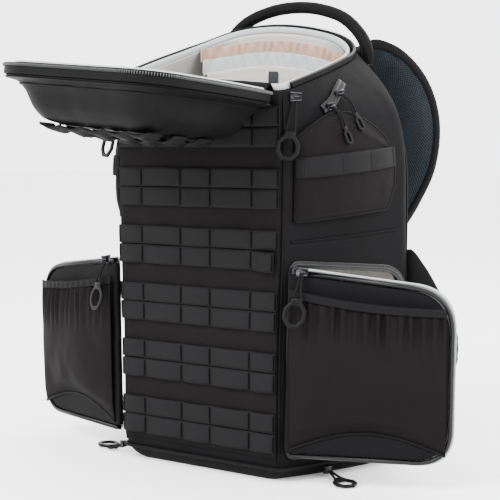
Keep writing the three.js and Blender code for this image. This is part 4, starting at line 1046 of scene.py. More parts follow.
def lidPlace(p):
    x, y, z = p
    lean = math.atan(pack["rimLean"])
    rise = -math.atan(lid["rise"])
    x, z = x * math.cos(lean) + z * math.sin(lean), -x * math.sin(lean) + z * math.cos(lean)
    y, z = y * math.cos(rise) - z * math.sin(rise), y * math.sin(rise) + z * math.cos(rise)
    return np.array([x, y + front - 5, z + pack["rimFront"] - 1])


def lidLoop(inset, z):
    loop = planLoop(
        frontHalf=pack["mouthWidth"] / 2 - inset, backHalf=pack["mouthWidth"] / 2 - inset, yFront=inset * 0.7,
        yBack=lid["length"] - inset, frontRadius=max(6, pack["mouthCornerFront"] - inset * 0.1),
        backRadius=max(12, lid["corner"] - inset * 0.5), swell=3)
    return np.array([[p[0], -p[1], z] for p in loop])


def lidRing(row, wallIn):
    return lidLoop(row[1] * pack["mouthWidth"] / 2 + wallIn,
                   -row[0] * lid["depth"] + (wallIn if row[0] > 0 else 0))


def finerRows(rows, steps):
    marks = np.linspace(0, len(rows) - 1, (len(rows) - 1) * steps + 1)
    index = np.arange(len(rows))
    return np.array([[spline(index, rows[:, k], m) for k in range(rows.shape[1])] for m in marks])


def lidShell():
    outer = [lidRing(row, 0) for row in finerRows(lidRows, lid["steps"])[::-1]]
    inner = [lidRing(row, lid["wall"]) for row in finerRows(lidInner, lid["steps"])]
    for k, ring in enumerate(outer):
        share = k / (len(outer) - 1)
        for i, p in enumerate(ring):
            soft = ease(1 - share, 0.12, 0.4)
            ring[i] = p + unit([p[0], p[1] + lid["length"] / 2, -60]) * soft * rumple(p, 38, 0.9)
    centreOut, centreIn = outer[0].mean(0), inner[-1].mean(0)
    caps = [[centreOut + (p - centreOut) * s for p in outer[0]] for s in (0.05, 0.3, 0.6, 0.85)]
    capsIn = [[centreIn + (p - centreIn) * s for p in inner[-1]] for s in (0.85, 0.6, 0.3, 0.05)]
    rings = [[lidPlace(p) for p in ring] for ring in caps + outer + inner + capsIn]
    return wear(loftMesh("lidShell", rings, [looks["mouldedShell"]]), "body_fabric", "lid_shell")


lidShell()


def lidLiningBowl():
    outside = lid["wall"] + 0.35

    def ringAt(row, extra):
        ring = lidRing(row, outside + extra)
        if row[0] < 0.001:
            ring[:, 2] = lid["proud"]
        return ring
    rows = finerRows(lidInner, 8)
    under = [ringAt(row, 0) for row in rows[::-1]]
    over = [ringAt(row, lid["lining"]) for row in rows]
    for ring in over[2:]:
        for i, p in enumerate(ring):
            ring[i] = p + [0, 0, max(0, rumple(p, 26, 1.0))]
    low, high = under[0].mean(0), over[-1].mean(0)
    capLow = [[low + (p - low) * s for p in under[0]] for s in (0.05, 0.4, 0.75)]
    capHigh = [[high + (p - high) * s for p in over[-1]] for s in (0.75, 0.4, 0.05)]
    rings = [[lidPlace(p) for p in ring] for ring in capLow + under + over + capHigh]
    return wear(loftMesh("lidLining", rings, [looks["paleCloth"]]), "pale_lining", "lid_lining")


lidLiningBowl()
lidUp = unit(lidPlace((0, 0, 1)) - lidPlace((0, 0, 0)))
lidOutward = lambda p, i, along: np.cross(lidUp, along)
lidZipLine = np.array([lidPlace(p) for p in lidLoop(1.5, 0)[hingeSteps:-hingeSteps + 1]])
section = [(-1.4, 0.9), (0.9, 0.9), (1.3, 0.2), (1.3, -8.6), (0.9, -9.6), (-1.4, -9.6)]
wear(sweep("lidZipTape", lidZipLine, lidOutward, section, [looks["zipTape"]]), "zip_coil", "lid_zip")
coils.points, coils.alongs, coils.outs = [], [], []
coils.add(lidZipLine, lidOutward, 2.4, lift=1.9, shift=-1.2)
coils.make("lidZipCoil", (1.35, 3.6, 2.8), looks["zipCoil"], "zip_coil")
welts = {"zip": (3.4, -10.9, 1.5), "step": (13.6, -17.2, 1.2), "panel": (46, -50.6, 1.1)}
for name, (inset, z, radius) in welts.items():
    line = [lidPlace(p) for p in lidLoop(inset, z)]
    if name == "zip":
        line = line[hingeSteps:-hingeSteps + 1]
    welt = sweep("lidWelt" + name.capitalize(), line, lidOutward, roundSection(radius, radius, 8),
                 [looks["pipingCord"]], closed=name != "zip")
    wear(welt, "body_fabric")
for inset, z in ((1.2, -6.8), (4.6, -12.6)):
    sewing.add([lidPlace(p) for p in lidLoop(inset, z)[hingeSteps:-hingeSteps + 1]], lidOutward, 3.0,
               lift=0.7)


def domeDepth(x, y):
    inset = min(pack["mouthWidth"] / 2 - abs(x), -y / 0.7, lid["length"] + y) / (pack["mouthWidth"] / 2)
    return float(np.interp(inset, lidRows[2:, 1], lidRows[2:, 0])) * lid["depth"]


lidLoops = {"reach": 68, "cells": 5, "rows": ((0.33, 5), (0.53, 6.5), (0.73, 5.5))}
for index, (along, slack) in enumerate(lidLoops["rows"]):
    def face(out):
        def make(u, v):
            x = mix(-lidLoops["reach"], lidLoops["reach"], u)
            y = -along * lid["length"] + mix(-0.5, 0.5, v) * straps["width"]
            lift = slack * abs(math.sin(u * lidLoops["cells"] * math.pi)) ** 1.2 * mix(0.55, 1, v)
            lift *= 1 + 0.2 * noise.noise(Vector((u * 5, index * 3.0, v)))
            base = max(domeDepth(x + dx, y + dy) for dx in (-6, 0, 6) for dy in (-6, 0, 6))
            return lidPlace((x, y, -base - 1.2 - out - lift))
        return grid(lidLoops["cells"] * 14, 5, make)
    strap = slabMesh(f"lidLoop{index + 1}", face(straps["thick"]), face(0), [looks["ribbedWebbing"]])
    wear(strap, "webbing", f"lid_webbing_{index + 1}")
    for k in range(lidLoops["cells"] + 1):
        u = min(0.985, max(0.015, k / lidLoops["cells"]))
        for shift in (-1.2, 1.2):
            at = [face(straps["thick"])[r][int(u * 70)] + [shift, 0, 0] for r in range(6)]
            sewing.add(at, -lidUp, 1.4, lift=0.2)


def hingeStrip():
    half = pack["mouthWidth"] / 2 - 14

    def face(out):
        def make(u, v):
            x = mix(-half, half, u)
            y, rise = mix(front + 2.8, front - 9.4, v), math.sin(v * math.pi) * 6
            return np.array([x, y, rimHeight(x, front) + 1 + rise + out + rumple((x, y, 0), 14, 0.3)])
        return grid(80, 12, make)
    return wear(slabMesh("lidHinge", face(1.8), face(0), [looks["bodyCloth"]]), "body_fabric", "lid_hinge")


hingeStrip()
print("lid made")

# carry handle
handle = {"radius": 6.6, "span": 194, "rise": 44, "drop": 22.1}
handleRows = ((1, 0, 2.3), (0.985, 0.25, 1.2), (0.88, 0.52, 0.6), (0.66, 0.79, 0), (0.34, 0.95, 0), (0, 1, 0))
handleY = back + handle["radius"] + 0.35
rightHalf = [[a * handle["span"] / 2, handleY - seat, pack["rimBack"] + mix(-handle["drop"], handle["rise"],
    up)]
             for a, up, seat in handleRows]
handleLine = smoothPath(rightHalf + [[-x, y, z] for x, y, z in rightHalf[:-1][::-1]], 150)
rings = []
for i, (p, (along, out, side)) in enumerate(zip(handleLine, frameAlong(handleLine, (0, 1, 0)))):
    share = i / (len(handleLine) - 1)
    ends = ease(min(share, 1 - share), 0, 0.12)
    fold = 1 + 0.05 * noise.noise(Vector((share * 60, 0, 0))) * (1.6 - ends)
    rings.append([p + out * o * fold * mix(0.55, 1, ends) + side * s * fold * mix(1.12, 1, ends)
                  for o, s in roundSection(6.5, 6.5, 22, 0.92)])
handlePiece = wear(loftMesh("carryHandle", rings, [looks["padCloth"]]), "body_fabric", "carry_handle")
sewing.add(handleLine[12:-12], (0, -1, 0), 3.0, lift=6.6, shift=2.2)
sewing.add(handleLine[12:-12], (0, -1, 0), 3.0, lift=6.6, shift=-2.2)

# back panel: two raised pads beside a channel
backPad = {"thick": 16, "low": 30, "drop": 40, "edge": 3, "channel": 0.6, "channelWide": 0.16}
backRows = np.array([[0, 0.58], [0.06, 0.64], [0.2, 0.76], [0.5, 0.78], [0.78, 0.8], [0.9, 0.68],
                     [0.97, 0.5], [1, 0.34]])


def backPanel():
    def face(outer):
        def make(u, v):
            half = spline(backRows[:, 0], backRows[:, 1], v)
            across = 2 * u - 1
            x = across * half * pack["backWidth"] / 2
            edge = min(1, (1 - abs(across)) * 6) ** 0.7 * ease(v, -0.02, 0.06)
            channel = backPad["channel"] * math.exp(-((across / backPad["channelWide"]) ** 2))
            ribs = 0.1 * math.exp(-(((v * 5) % 1 - 0.5) / 0.06) ** 2) * (1 if 0.08 < v < 0.92 else 0)
            topped = 1 - ease(v, 0.9, 1.02)
            out = mix(backPad["edge"], backPad["thick"] * (1 - channel - ribs), edge * topped) if outer else 0
            return np.array([x, back + 0.35 + out, mix(backPad["low"], pack["rimBack"] - backPad["drop"], v)])
        return grid(110, 130, make)
    return wear(slabMesh("backPanel", face(True), face(False), [looks["spacerMesh"]]), "spacer_mesh",
                "back_panel")


backPanel()
edgeLine = []
for v in np.linspace(0, 1, 60):
    edgeLine.append([spline(backRows[:, 0], backRows[:, 1], v) * pack["backWidth"] / 2,
                     back + 2.2, mix(backPad["low"], pack["rimBack"] - backPad["drop"], v)])
edgeLine = edgeLine + [[-x, y, z] for x, y, z in edgeLine[::-1]]
wear(sweep("backPanelBinding", evenly(edgeLine, 4, True), (0, 1, 0), roundSection(2.0, 2.6, 8),
           [looks["pipingCord"]], closed=True), "body_fabric")
zipRows = ((0.975, 0.09), (0.985, 0.45), (0.985, 0.68), (0.945, 0.77), (0.86, 0.835), (0.72, 0.885),
           (0.5, 0.918), (0.25, 0.93))
rightLine = [[a * pack["backWidth"] / 2 - 10, back + 1.85, h * pack["rimBack"]] for a, h in zipRows]
backZipLine = smoothPath(rightLine + [[-x, y, z] for x, y, z in rightLine[::-1]], 200)
section = [(-1.5, -3.5), (0.6, -3.5), (0.9, -3), (0.9, 3), (0.6, 3.5), (-1.5, 3.5)]
wear(sweep("backZipTape", backZipLine, (0, 1, 0), section, [looks["zipTape"]]), "zip_coil", "back_zip")
coils.points, coils.alongs, coils.outs = [], [], []
coils.add(backZipLine, (0, 1, 0), 2.4, lift=0.9)
coils.make("backZipCoil", (1.35, 6.4, 1.6), looks["zipCoil"], "zip_coil")
print("handle and back made")

# shoulder straps, their webbing and the hip wings
shoulder = {"reach": 82, "wide": 62, "thick": 13, "binding": 3.2}
shoulderRows = np.array([  # across, reach behind the back, height, width
    [0.3, 0.162, 0.93, 0.8], [0.37, 0.42, 0.985, 0.95], [0.5, 0.68, 0.965, 1], [0.63, 0.9, 0.9, 1],
    [0.69, 1, 0.815, 1], [0.68, 0.97, 0.72, 1], [0.61, 0.85, 0.63, 0.92], [0.54, 0.7, 0.55, 0.74],
    [0.5, 0.62, 0.49, 0.5],
])
wings = {"reach": 44, "thick": 12, "edge": 5}
wingRows = np.array([[0.8, 0, 0.27, 0.7], [0.94, 0, 0.25, 0.72], [1.015, 0.17, 0.24, 0.67],
                     [1.08, 0.48, 0.25, 0.58],
                     [1.125, 0.82, 0.27, 0.49], [1.135, 1, 0.32, 0.42]])
for side, sign in (("Right", 1), ("Left", -1)):
    low = side.lower()
    knots = [[sign * a * pack["backWidth"] / 2, back + r * shoulder["reach"], h * pack["rimBack"]]
             for a, r, h, w in shoulderRows]
    line = smoothPath(knots, 130)
    widths = [spline(np.linspace(0, 1, 9), shoulderRows[:, 3], k / 129) for k in range(130)]
    rings, edges = [], ([], [])
    for k, (p, (along, _, _)) in enumerate(zip(line, frameAlong(line, (0, 1, 0.1)))):
        thick = unit(np.cross(along, (1, 0, 0)))
        wide = np.cross(thick, along)
        w, t = widths[k] * shoulder["wide"] / 2, shoulder["thick"] / 2
        ring = []
        for m in range(40):
            turn = 2 * math.pi * m / 40
            a, b = math.cos(turn), math.sin(turn)
            a, b = math.copysign(abs(a) ** 0.35, a), math.copysign(abs(b) ** 0.5, b)
            bent = ease(k, 0, 34) * (1 - ease(k, 34, 60))
            crease = 0.9 * math.sin(k * 0.62 + a * 1.4) * bent * (1 if b > 0 else 0.3)
            quilt = -0.8 * math.exp(-((abs(a) - 0.8) / 0.06) ** 2)
            ring.append(p + wide * a * w + thick * (b * t + (crease + quilt) * b))
        rings.append(ring)
        for e, s in zip(edges, (-1, 1)):
            e.append(p + wide * s * (w - 0.4))
    piece = loftMesh("shoulderStrap" + side, rings, [looks["padCloth"], looks["spacerMesh"]])
    thickAt = [unit(np.cross(f[0], (1, 0, 0))) for f in frameAlong(line, (0, 1, 0.1))]
    mats = []
    for face in piece.data.polygons:
        k = int(np.argmin(np.linalg.norm(line * mm - np.array(face.center), axis=1)))
        facing = float(np.dot(np.array(face.normal), thickAt[k]))
        mats.append(1 if facing > 0.45 else 0)
    piece.data.polygons.foreach_set("material_index", mats)
    wear(piece, "body_fabric", "shoulder_strap_" + low)
    for n, e in enumerate(edges):
        cord = sweep(f"shoulderBinding{side}{n}", e, lambda p, i, a: np.cross(a, (1, 0, 0)),
                     roundSection(5.6, shoulder["binding"], 12, 0.8), [looks["bodyCloth"]])
        wear(cord, "body_fabric")
        sewing.add(e, lambda p, i, a: np.cross(a, (1, 0, 0)), 3.2, lift=5.7)
    end = line[-1]
    start = end + [0, 0, -shoulder["thick"] / 2 - 0.35]
    foot = np.array([sign * 0.385 * pack["backWidth"], back + 2, 34])
    sag = (start + foot) / 2 + [sign * 4, 8, -14]
    run = [(1 - t) ** 2 * start + 2 * t * (1 - t) * sag + t * t * foot for t in np.linspace(0, 1, 60)]
    band = sweep("strapWebbing" + side, run, lambda p, i, a: np.cross(a, (1, 0, 0)),
                 [(-0.8, -9.8), (-0.5, -10), (0.5, -10), (0.8, -9.8), (0.8, 9.8), (0.5, 10), (-0.5, 10),
                  (-0.8, 9.8)],
                 [looks["ribbedWebbing"]])
    wear(band, "webbing", "strap_webbing_" + low)
    seat = back + 3 + 0.7 + wings["thick"] / 2
    fine = finerRows(wingRows, 14)
    rings = []
    middle = np.array([[sign * r[0] * pack["backWidth"] / 2, seat + r[1] * wings["reach"], 0] for r in fine])
    for k, row in enumerate(fine):
        along = unit(middle[min(k + 1, len(fine) - 1)] - middle[max(k - 1, 0)])
        out = np.cross(along, upward) * sign
        lowZ, highZ = row[2] * pack["shoulder"], row[3] * pack["shoulder"]
        ring = []
        for m in range(36):
            turn = 2 * math.pi * m / 36
            a, b = math.cos(turn), math.sin(turn)
            a, b = math.copysign(abs(a) ** 0.6, a), math.copysign(abs(b) ** 0.32, b)
            quilt = 1 - 0.16 * math.exp(-((abs(b) - 0.55) / 0.07) ** 2)
            z = (lowZ + highZ) / 2 + b * (highZ - lowZ) / 2
            ring.append(middle[k] + out * a * wings["thick"] / 2 * quilt + [0, 0, z])
        rings.append(ring)
    wing = wear(loftMesh("hipWing" + side, rings, [looks["padCloth"]]), "body_fabric", "hip_wing_" + low)
    for share in (-0.82, 0.82):
        trail = [middle[k] + [0, 0, (fine[k][2] + fine[k][3]) / 2 * pack["shoulder"]
                              + share * (fine[k][3] - fine[k][2]) / 2 * pack["shoulder"]] for k in range(14,
                                  len(fine))]
        sewing.add(trail, lambda p, i, a: (sign * 0.6, -0.8, 0), 3.2, lift=5.4)
print("straps and wings made")


# zip pulls: metal slider, doubled cord and a moulded grip with a window
grips = {
    "hex": {"wide": 23, "tall": 26, "rim": 4.2, "corner": 0.26, "cord": 1.2},
    "tab": {"wide": 9, "tall": 15, "rim": 2.8, "corner": 0.12, "cord": 1.0},
}
gripThick = 3.0
sliderSize = {"along": 9, "out": 3.6, "wide": 7, "bevel": 1.1}


def roundedBox(name, centre, axes, size, bevel, look):
    bm = bmesh.new()
    bmesh.ops.create_cube(bm, size=1)
    for v in bm.verts:
        local = np.array(v.co) * size
        taper = 1 - 0.22 * (local[0] / size[0] + 0.5)
        local[2] *= taper
        v.co = Vector(centre + sum(axis * c for axis, c in zip(axes, local))) * mm
    bmesh.ops.bevel(bm, geom=list(bm.edges), offset=bevel * mm, segments=3, affect="EDGES")
    bmesh.ops.recalc_face_normals(bm, faces=bm.faces)
    mesh = bpy.data.meshes.new(name)
    bm.to_mesh(mesh)
    bm.free()
    mesh.materials.append(look)
    mesh.polygons.foreach_set("use_smooth", [True] * len(mesh.polygons))
    obj = bpy.data.objects.new(name, mesh)
    bpy.context.scene.collection.objects.link(obj)
    return obj


def zipPull(name, start, via, to, across, slider, grip, nodes=()):
    shape = grips[grip]
    start, to = np.asarray(start, float), np.asarray(to, float)
    run = [start] + [np.asarray(p, float) for p in via] + [to]
    down = unit(to - run[-2])
    wide = unit(np.asarray(across, float) - down * np.dot(across, down))
    facing = np.cross(down, wide)
    w, h = shape["wide"] / 2 - shape["rim"] / 2, shape["tall"] / 2 - shape["rim"] / 2
    cut = shape["tall"] * shape["corner"]
    corners = [(-w * 0.45, h), (w * 0.45, h), (w, h - cut), (w, cut - h), (w * 0.45, -h), (-w * 0.45, -h),
               (-w, cut - h), (-w, h - cut)]
    rounded = roundedLoop([(x, y, 0.9) for x, y in corners], 3)
    outline = [to + wide * x - down * y for x, y in rounded]
    ring = sweep(name + "Grip", outline, lambda p, i, a: p - to, roundSection(shape["rim"] / 2,
        gripThick / 2, 14, 0.5),
                 [looks["mouldedRubber"]], closed=True)
    wear(ring, "moulded_pull", *nodes)
    top = to + down * (shape["rim"] / 2 - shape["tall"] / 2)
    neck = sweep(name + "Neck", [top - down * 5.5, top - down * 3, top + down * 0.4], facing,
                 roundSection(1.7, shape["wide"] * 0.26, 12, 0.7), [looks["mouldedRubber"]])
    wear(neck, "moulded_pull")
    for leg, side in (("A", 1), ("B", -1)):
        spread = lambda p, share: p + wide * side * mix(0.9, shape["wide"] * 0.2, share)
        line = [spread(start, 0)]
        line += [spread(p, (k + 1) / len(run)) for k, p in enumerate(run[1:-1])] + [spread(top - down * 3, 1)]
        cord = sweep(name + "Cord" + leg, smoothPath(line, 22), facing,
                     roundSection(shape["cord"], shape["cord"], 8),
                     [looks["cordBraid"]])
        wear(cord, "moulded_pull")
    along = unit(slider)
    out = unit(np.cross(along, upward))
    axes = (along, out, np.cross(along, out))
    size = np.array([sliderSize["along"], sliderSize["out"],
                     sliderSize["wide"]]) * (0.8 if grip == "tab" else 1)
    body = roundedBox(name + "Slider", start, axes, size, sliderSize["bevel"], looks["sliderMetal"])
    wear(body, "slider_metal")
    bridge = [start - along * size[0] * 0.32, start - along * size[0] * 0.2, start + along * size[0] * 0.32]
    lift = unit(start - np.array([0, 0, start[2]])) * (size[1] * 0.5 + 0.9)
    arch = [bridge[0] + lift * 0.4, bridge[1] + lift, (bridge[1] + bridge[2]) / 2 + lift * 1.15,
            bridge[2] + lift * 0.4]
    wear(sweep(name + "Bridge", smoothPath(arch, 12), (0, 0, 1), roundSection(0.8, 0.8, 8),
               [looks["sliderMetal"]]),
         "slider_metal")


# side pockets
pocket = {"low": 0.832, "lowBack": 0.865, "high": 1.09, "highMiddle": 1.161, "highBack": 1.11, "bulge": 15,
          "wall": 1.6, "span": (0.01, 0.93), "columns": 90, "rows": 60}
sideStrap = {"front": 0.968, "back": 1.003, "width": 20}


def pocketHeight(u, v):
    low = mix(pocket["low"], pocket["lowBack"], u) + 0.02 * ease(u, 0.85, 1)
    arch = abs(math.sin(math.pi * min(1, u * 1.15))) ** 0.8
    high = mix(pocket["high"], pocket["highBack"], u) + (pocket["highMiddle"] - pocket["high"]) * arch
    low += 0.05 * ease(u, 0.86, 1) ** 2  # rounded lower and upper back corners
    high -= 0.075 * ease(u, 0.84, 1) ** 2
    return mix(low, high, v) * pack["shoulder"]


def pocketOut(u, v):
    across = abs(math.sin(math.pi * u ** 0.6))
    upwards = abs(math.sin(math.pi * mix(0.06, 0.94, v))) ** 0.55
    return pocket["bulge"] * across ** 0.8 * upwards


def pocketPoint(u, z, v, out, sign):
    return sidePoint(mix(*pocket["span"], u), z, 1 + pocketOut(u, v) + out, sign)


def pocketShare(z, u):
    return min(1, max(0, (z - pocketHeight(u, 0)) / (pocketHeight(u, 1) - pocketHeight(u, 0))))


pocketZipRows = ((0.3, 0.936), (0.42, 0.957), (0.56, 0.987), (0.68, 1.008))
pocketPulls = ((0.38, 0.945, 33), (0.54, 0.976, 33))
for side, sign in (("Right", 1), ("Left", -1)):
    low = side.lower()

    def face(out, folds):
        def make(u, v):
            fold = folds * (0.9 * math.sin((v * 9 + u * 4)) * math.exp(-((u - 0.1) / 0.09) ** 2)
                            + 1.1 * math.exp(-((v - 0.86 - 0.05 * math.sin(u * 7)) / 0.035) ** 2) * ease(u,
                                0.02, 0.2)
                            + rumple((u * 90, v * 60, sign * 9), 17, 0.7)) * ease(min(u, 1 - u, v, 1 - v),
                                0, 0.08)
            return pocketPoint(u, pocketHeight(u, v), v, out + fold, sign)
        return grid(pocket["columns"], pocket["rows"], make)
    wall = slabMesh("sidePocket" + side, face(pocket["wall"], 1), face(0, 0), [looks["frontCloth"]])
    wear(wall, "front_fabric", "side_pocket_" + low)
    rim = [pocketPoint(u, pocketHeight(u, 0), 0, 1.0, sign) for u in np.linspace(0, 1, 70)]
    rim += [pocketPoint(1, pocketHeight(1, v), v, 1.0, sign) for v in np.linspace(0, 1, 40)[1:]]
    rim += [pocketPoint(u, pocketHeight(u, 1), 1, 1.0, sign) for u in np.linspace(1, 0, 70)[1:]]
    wear(sweep("pocketWelt" + side, rim, (sign, -0.3, 0), roundSection(1.5, 1.3, 8), [looks["pipingCord"]]),
         "body_fabric")
    for offset in (0.045, 0.955):
        sewing.add([pocketPoint(u, pocketHeight(u, offset), offset, pocket["wall"] + 0.15, sign)
                    for u in np.linspace(0.04, 0.96, 80)], (sign, -0.3, 0.1), 3.0)

    def strapFace(out):
        def make(u, v):
            z = mix(sideStrap["front"], sideStrap["back"], u) * pack["shoulder"] + v * sideStrap["width"]
            cell = abs(math.sin(math.pi * min(1, max(0, (u - 0.03) / 0.94)) * 3)) ** 0.7
            return pocketPoint(u, z, pocketShare(z, u), pocket["wall"] + 0.6 + 0.9 * cell + out, sign)
        return grid(90, 6, make)
    strap = slabMesh("sideWebbing" + side, strapFace(1.6), strapFace(0), [looks["ribbedWebbing"]])
    wear(strap, "webbing", "side_webbing_" + low)
    for u in (0.03, 0.345, 0.655, 0.97):
        for shift in (-0.006, 0.006):
            zs = [mix(sideStrap["front"], sideStrap["back"],
                      u) * pack["shoulder"] + s for s in np.linspace(2, 18, 8)]
            at = [pocketPoint(u + shift, z, pocketShare(z, u), pocket["wall"] + 2.5, sign) for z in zs]
            sewing.add(at, (sign, -0.3, 0), 1.4, lift=0.1)

    along0 = lambda a, h, out: sidePoint(a, h * pack["rimFront"], out, sign)
    zipFine = finerRows(np.array(pocketZipRows), 16)
    line = [along0(a, h, 2.5) for a, h in zipFine]
    outwards = [unit(along0(a, h, 1) - along0(a, h, 0)) for a, h in zipFine]
    tapeOut = lambda p, i, a: outwards[min(i, len(outwards) - 1)]
    half = 5.2
    section = [(-1.0, -half), (0.4, -half), (0.9, -half + 1.6), (1.0, -0.5), (0.3, 0), (1.0, 0.5),
               (0.9, half - 1.6),
               (0.4, half), (-1.0, half)]
    wear(sweep("pocketZipTape" + side, line, tapeOut, section, [looks["coatedTape"]]), "zip_coil",
         "pocket_zip_" + low)
    sewing.add(line, (sign, -0.3, 0.2), 2.8, lift=0.8, shift=3.9)
    sewing.add(line, (sign, -0.3, 0.2), 2.8, lift=0.8, shift=-3.9)
    for n, (a, h, drop) in enumerate(pocketPulls):
        start = along0(a, h, 4.0)
        u = (a - pocket["span"][0]) / (pocket["span"][1] - pocket["span"][0])
        over = lambda z: pocketPoint(u, z, pocketShare(z, u), pocket["wall"] + gripThick, sign)
        zipPull(f"pocketPull{side}{n + 1}", start, [over(start[2] - drop * 0.3)], over(start[2] - drop),
                (0.3 * sign, 1, 0), (0.3 * sign, 1, 0.25), "tab")

    # lower side seam and its stitches
    seam = [sidePoint(a, mix(238, 246, a), 0.6, sign) for a in np.linspace(0.0, 0.99, 80)]
    wear(sweep("sideSeam" + side, seam, (sign, -0.3, 0), roundSection(1.2, 1.1, 8), [looks["pipingCord"]]),
         "body_fabric")
    sewing.add([p - [0, 0, 4] for p in seam], (sign, -0.3, 0), 3.0, lift=0.4)
print("side pockets made")

# side doors, each in its own frame: hinge line at x 0, the outer face towards -Y
door = {"bottom": 26, "top": 213, "farTop": 201, "length": 160, "thick": 7, "hingeWidth": 213, "setback": 5,
        "openRight": 66, "openLeft": 73, "edge": 4.5, "startLow": -2, "startHigh": 2.4, "footEnds": 12,
        "footMiddle": 31,
        "bandHinge": 27, "bandFar": 31, "bandWidth": 8, "pleats": 14, "bag": 17}


def doorPlace(sign):
    turn = sign * math.radians(90 - (door["openRight"] if sign > 0 else door["openLeft"]))

    def place(p):
        x, y, z = sign * p[0], p[1], p[2]
        return np.array([x * math.cos(turn) - y * math.sin(turn) + sign * door["hingeWidth"] / 2,
                         x * math.sin(turn) + y * math.cos(turn) + front + door["setback"], z])
    return place


def doorLoop(grow, steps=14, late=0):  # late is how far it starts from the hinge
    return roundedLoop([
        (door["startLow"] + late, door["bottom"] + 2 - grow, 5),
        (door["length"] + grow, door["bottom"] - grow, 34),
        (door["length"] + 2 + grow, door["farTop"] - 6 + grow, 40),
        (door["startHigh"] + late, door["top"] + grow, 5),
    ], steps)


def plate(name, loop, levels, place, look, swell=None):  # levels are y and inset pairs, from back to front
    loop = evenly(loop, 2.2, True)
    centre = loop.mean(0)
    reach = np.linalg.norm(loop - centre, axis=1, keepdims=True)
    rings = []
    for s in (0.04, 0.2, 0.4, 0.6, 0.8, 0.93):
        rings.append([(p, levels[0][0], s) for p in centre + (loop - centre) * s])
    for y, inset in levels:
        rings.append([(p, y, 1) for p in centre + (loop - centre) * (1 - inset / reach)])
    for s in (0.93, 0.8, 0.6, 0.4, 0.2, 0.04):
        rings.append([(p, levels[-1][0], s) for p in centre + (loop - centre) * s])
    half = len(rings) / 2
    made = []
    for k, ring in enumerate(rings):
        made.append([place([p[0], y + (swell(p, s, k > half) if swell else 0), p[1]]) for p, y, s in ring])
    obj = loftMesh(name, made, [look])
    flat = np.array([[p[0], p[1]] for ring in rings for p, _, _ in ring])
    flat = np.vstack([flat, centre, centre]) * mm
    layer = obj.data.uv_layers["cloth"]
    corners = np.array([flat[loopCorner.vertex_index] for loopCorner in obj.data.loops])
    layer.data.foreach_set("uv", corners.ravel())
    return obj


def bandLow(u):
    return mix(door["top"] - door["bandHinge"], door["farTop"] - door["bandFar"],
               u) - 3 * math.sin(math.pi * u)


def doorReach(u):
    return mix(door["startHigh"] + 1.6, door["length"] - door["edge"] - 1.5, u)


def pocketSwell(u, v):
    across = abs(math.sin(math.pi * mix(0.015, 0.985, u))) ** 0.5
    upwards = mix(0.36, 1, abs(math.sin(math.pi * min(1, v * 0.8))) ** 0.8) * ease(v, -0.01, 0.12)
    return door["bag"] * across * upwards


def pocketFoot(u):
    return door["bottom"] + mix(door["footEnds"], door["footMiddle"], math.sin(math.pi * u))


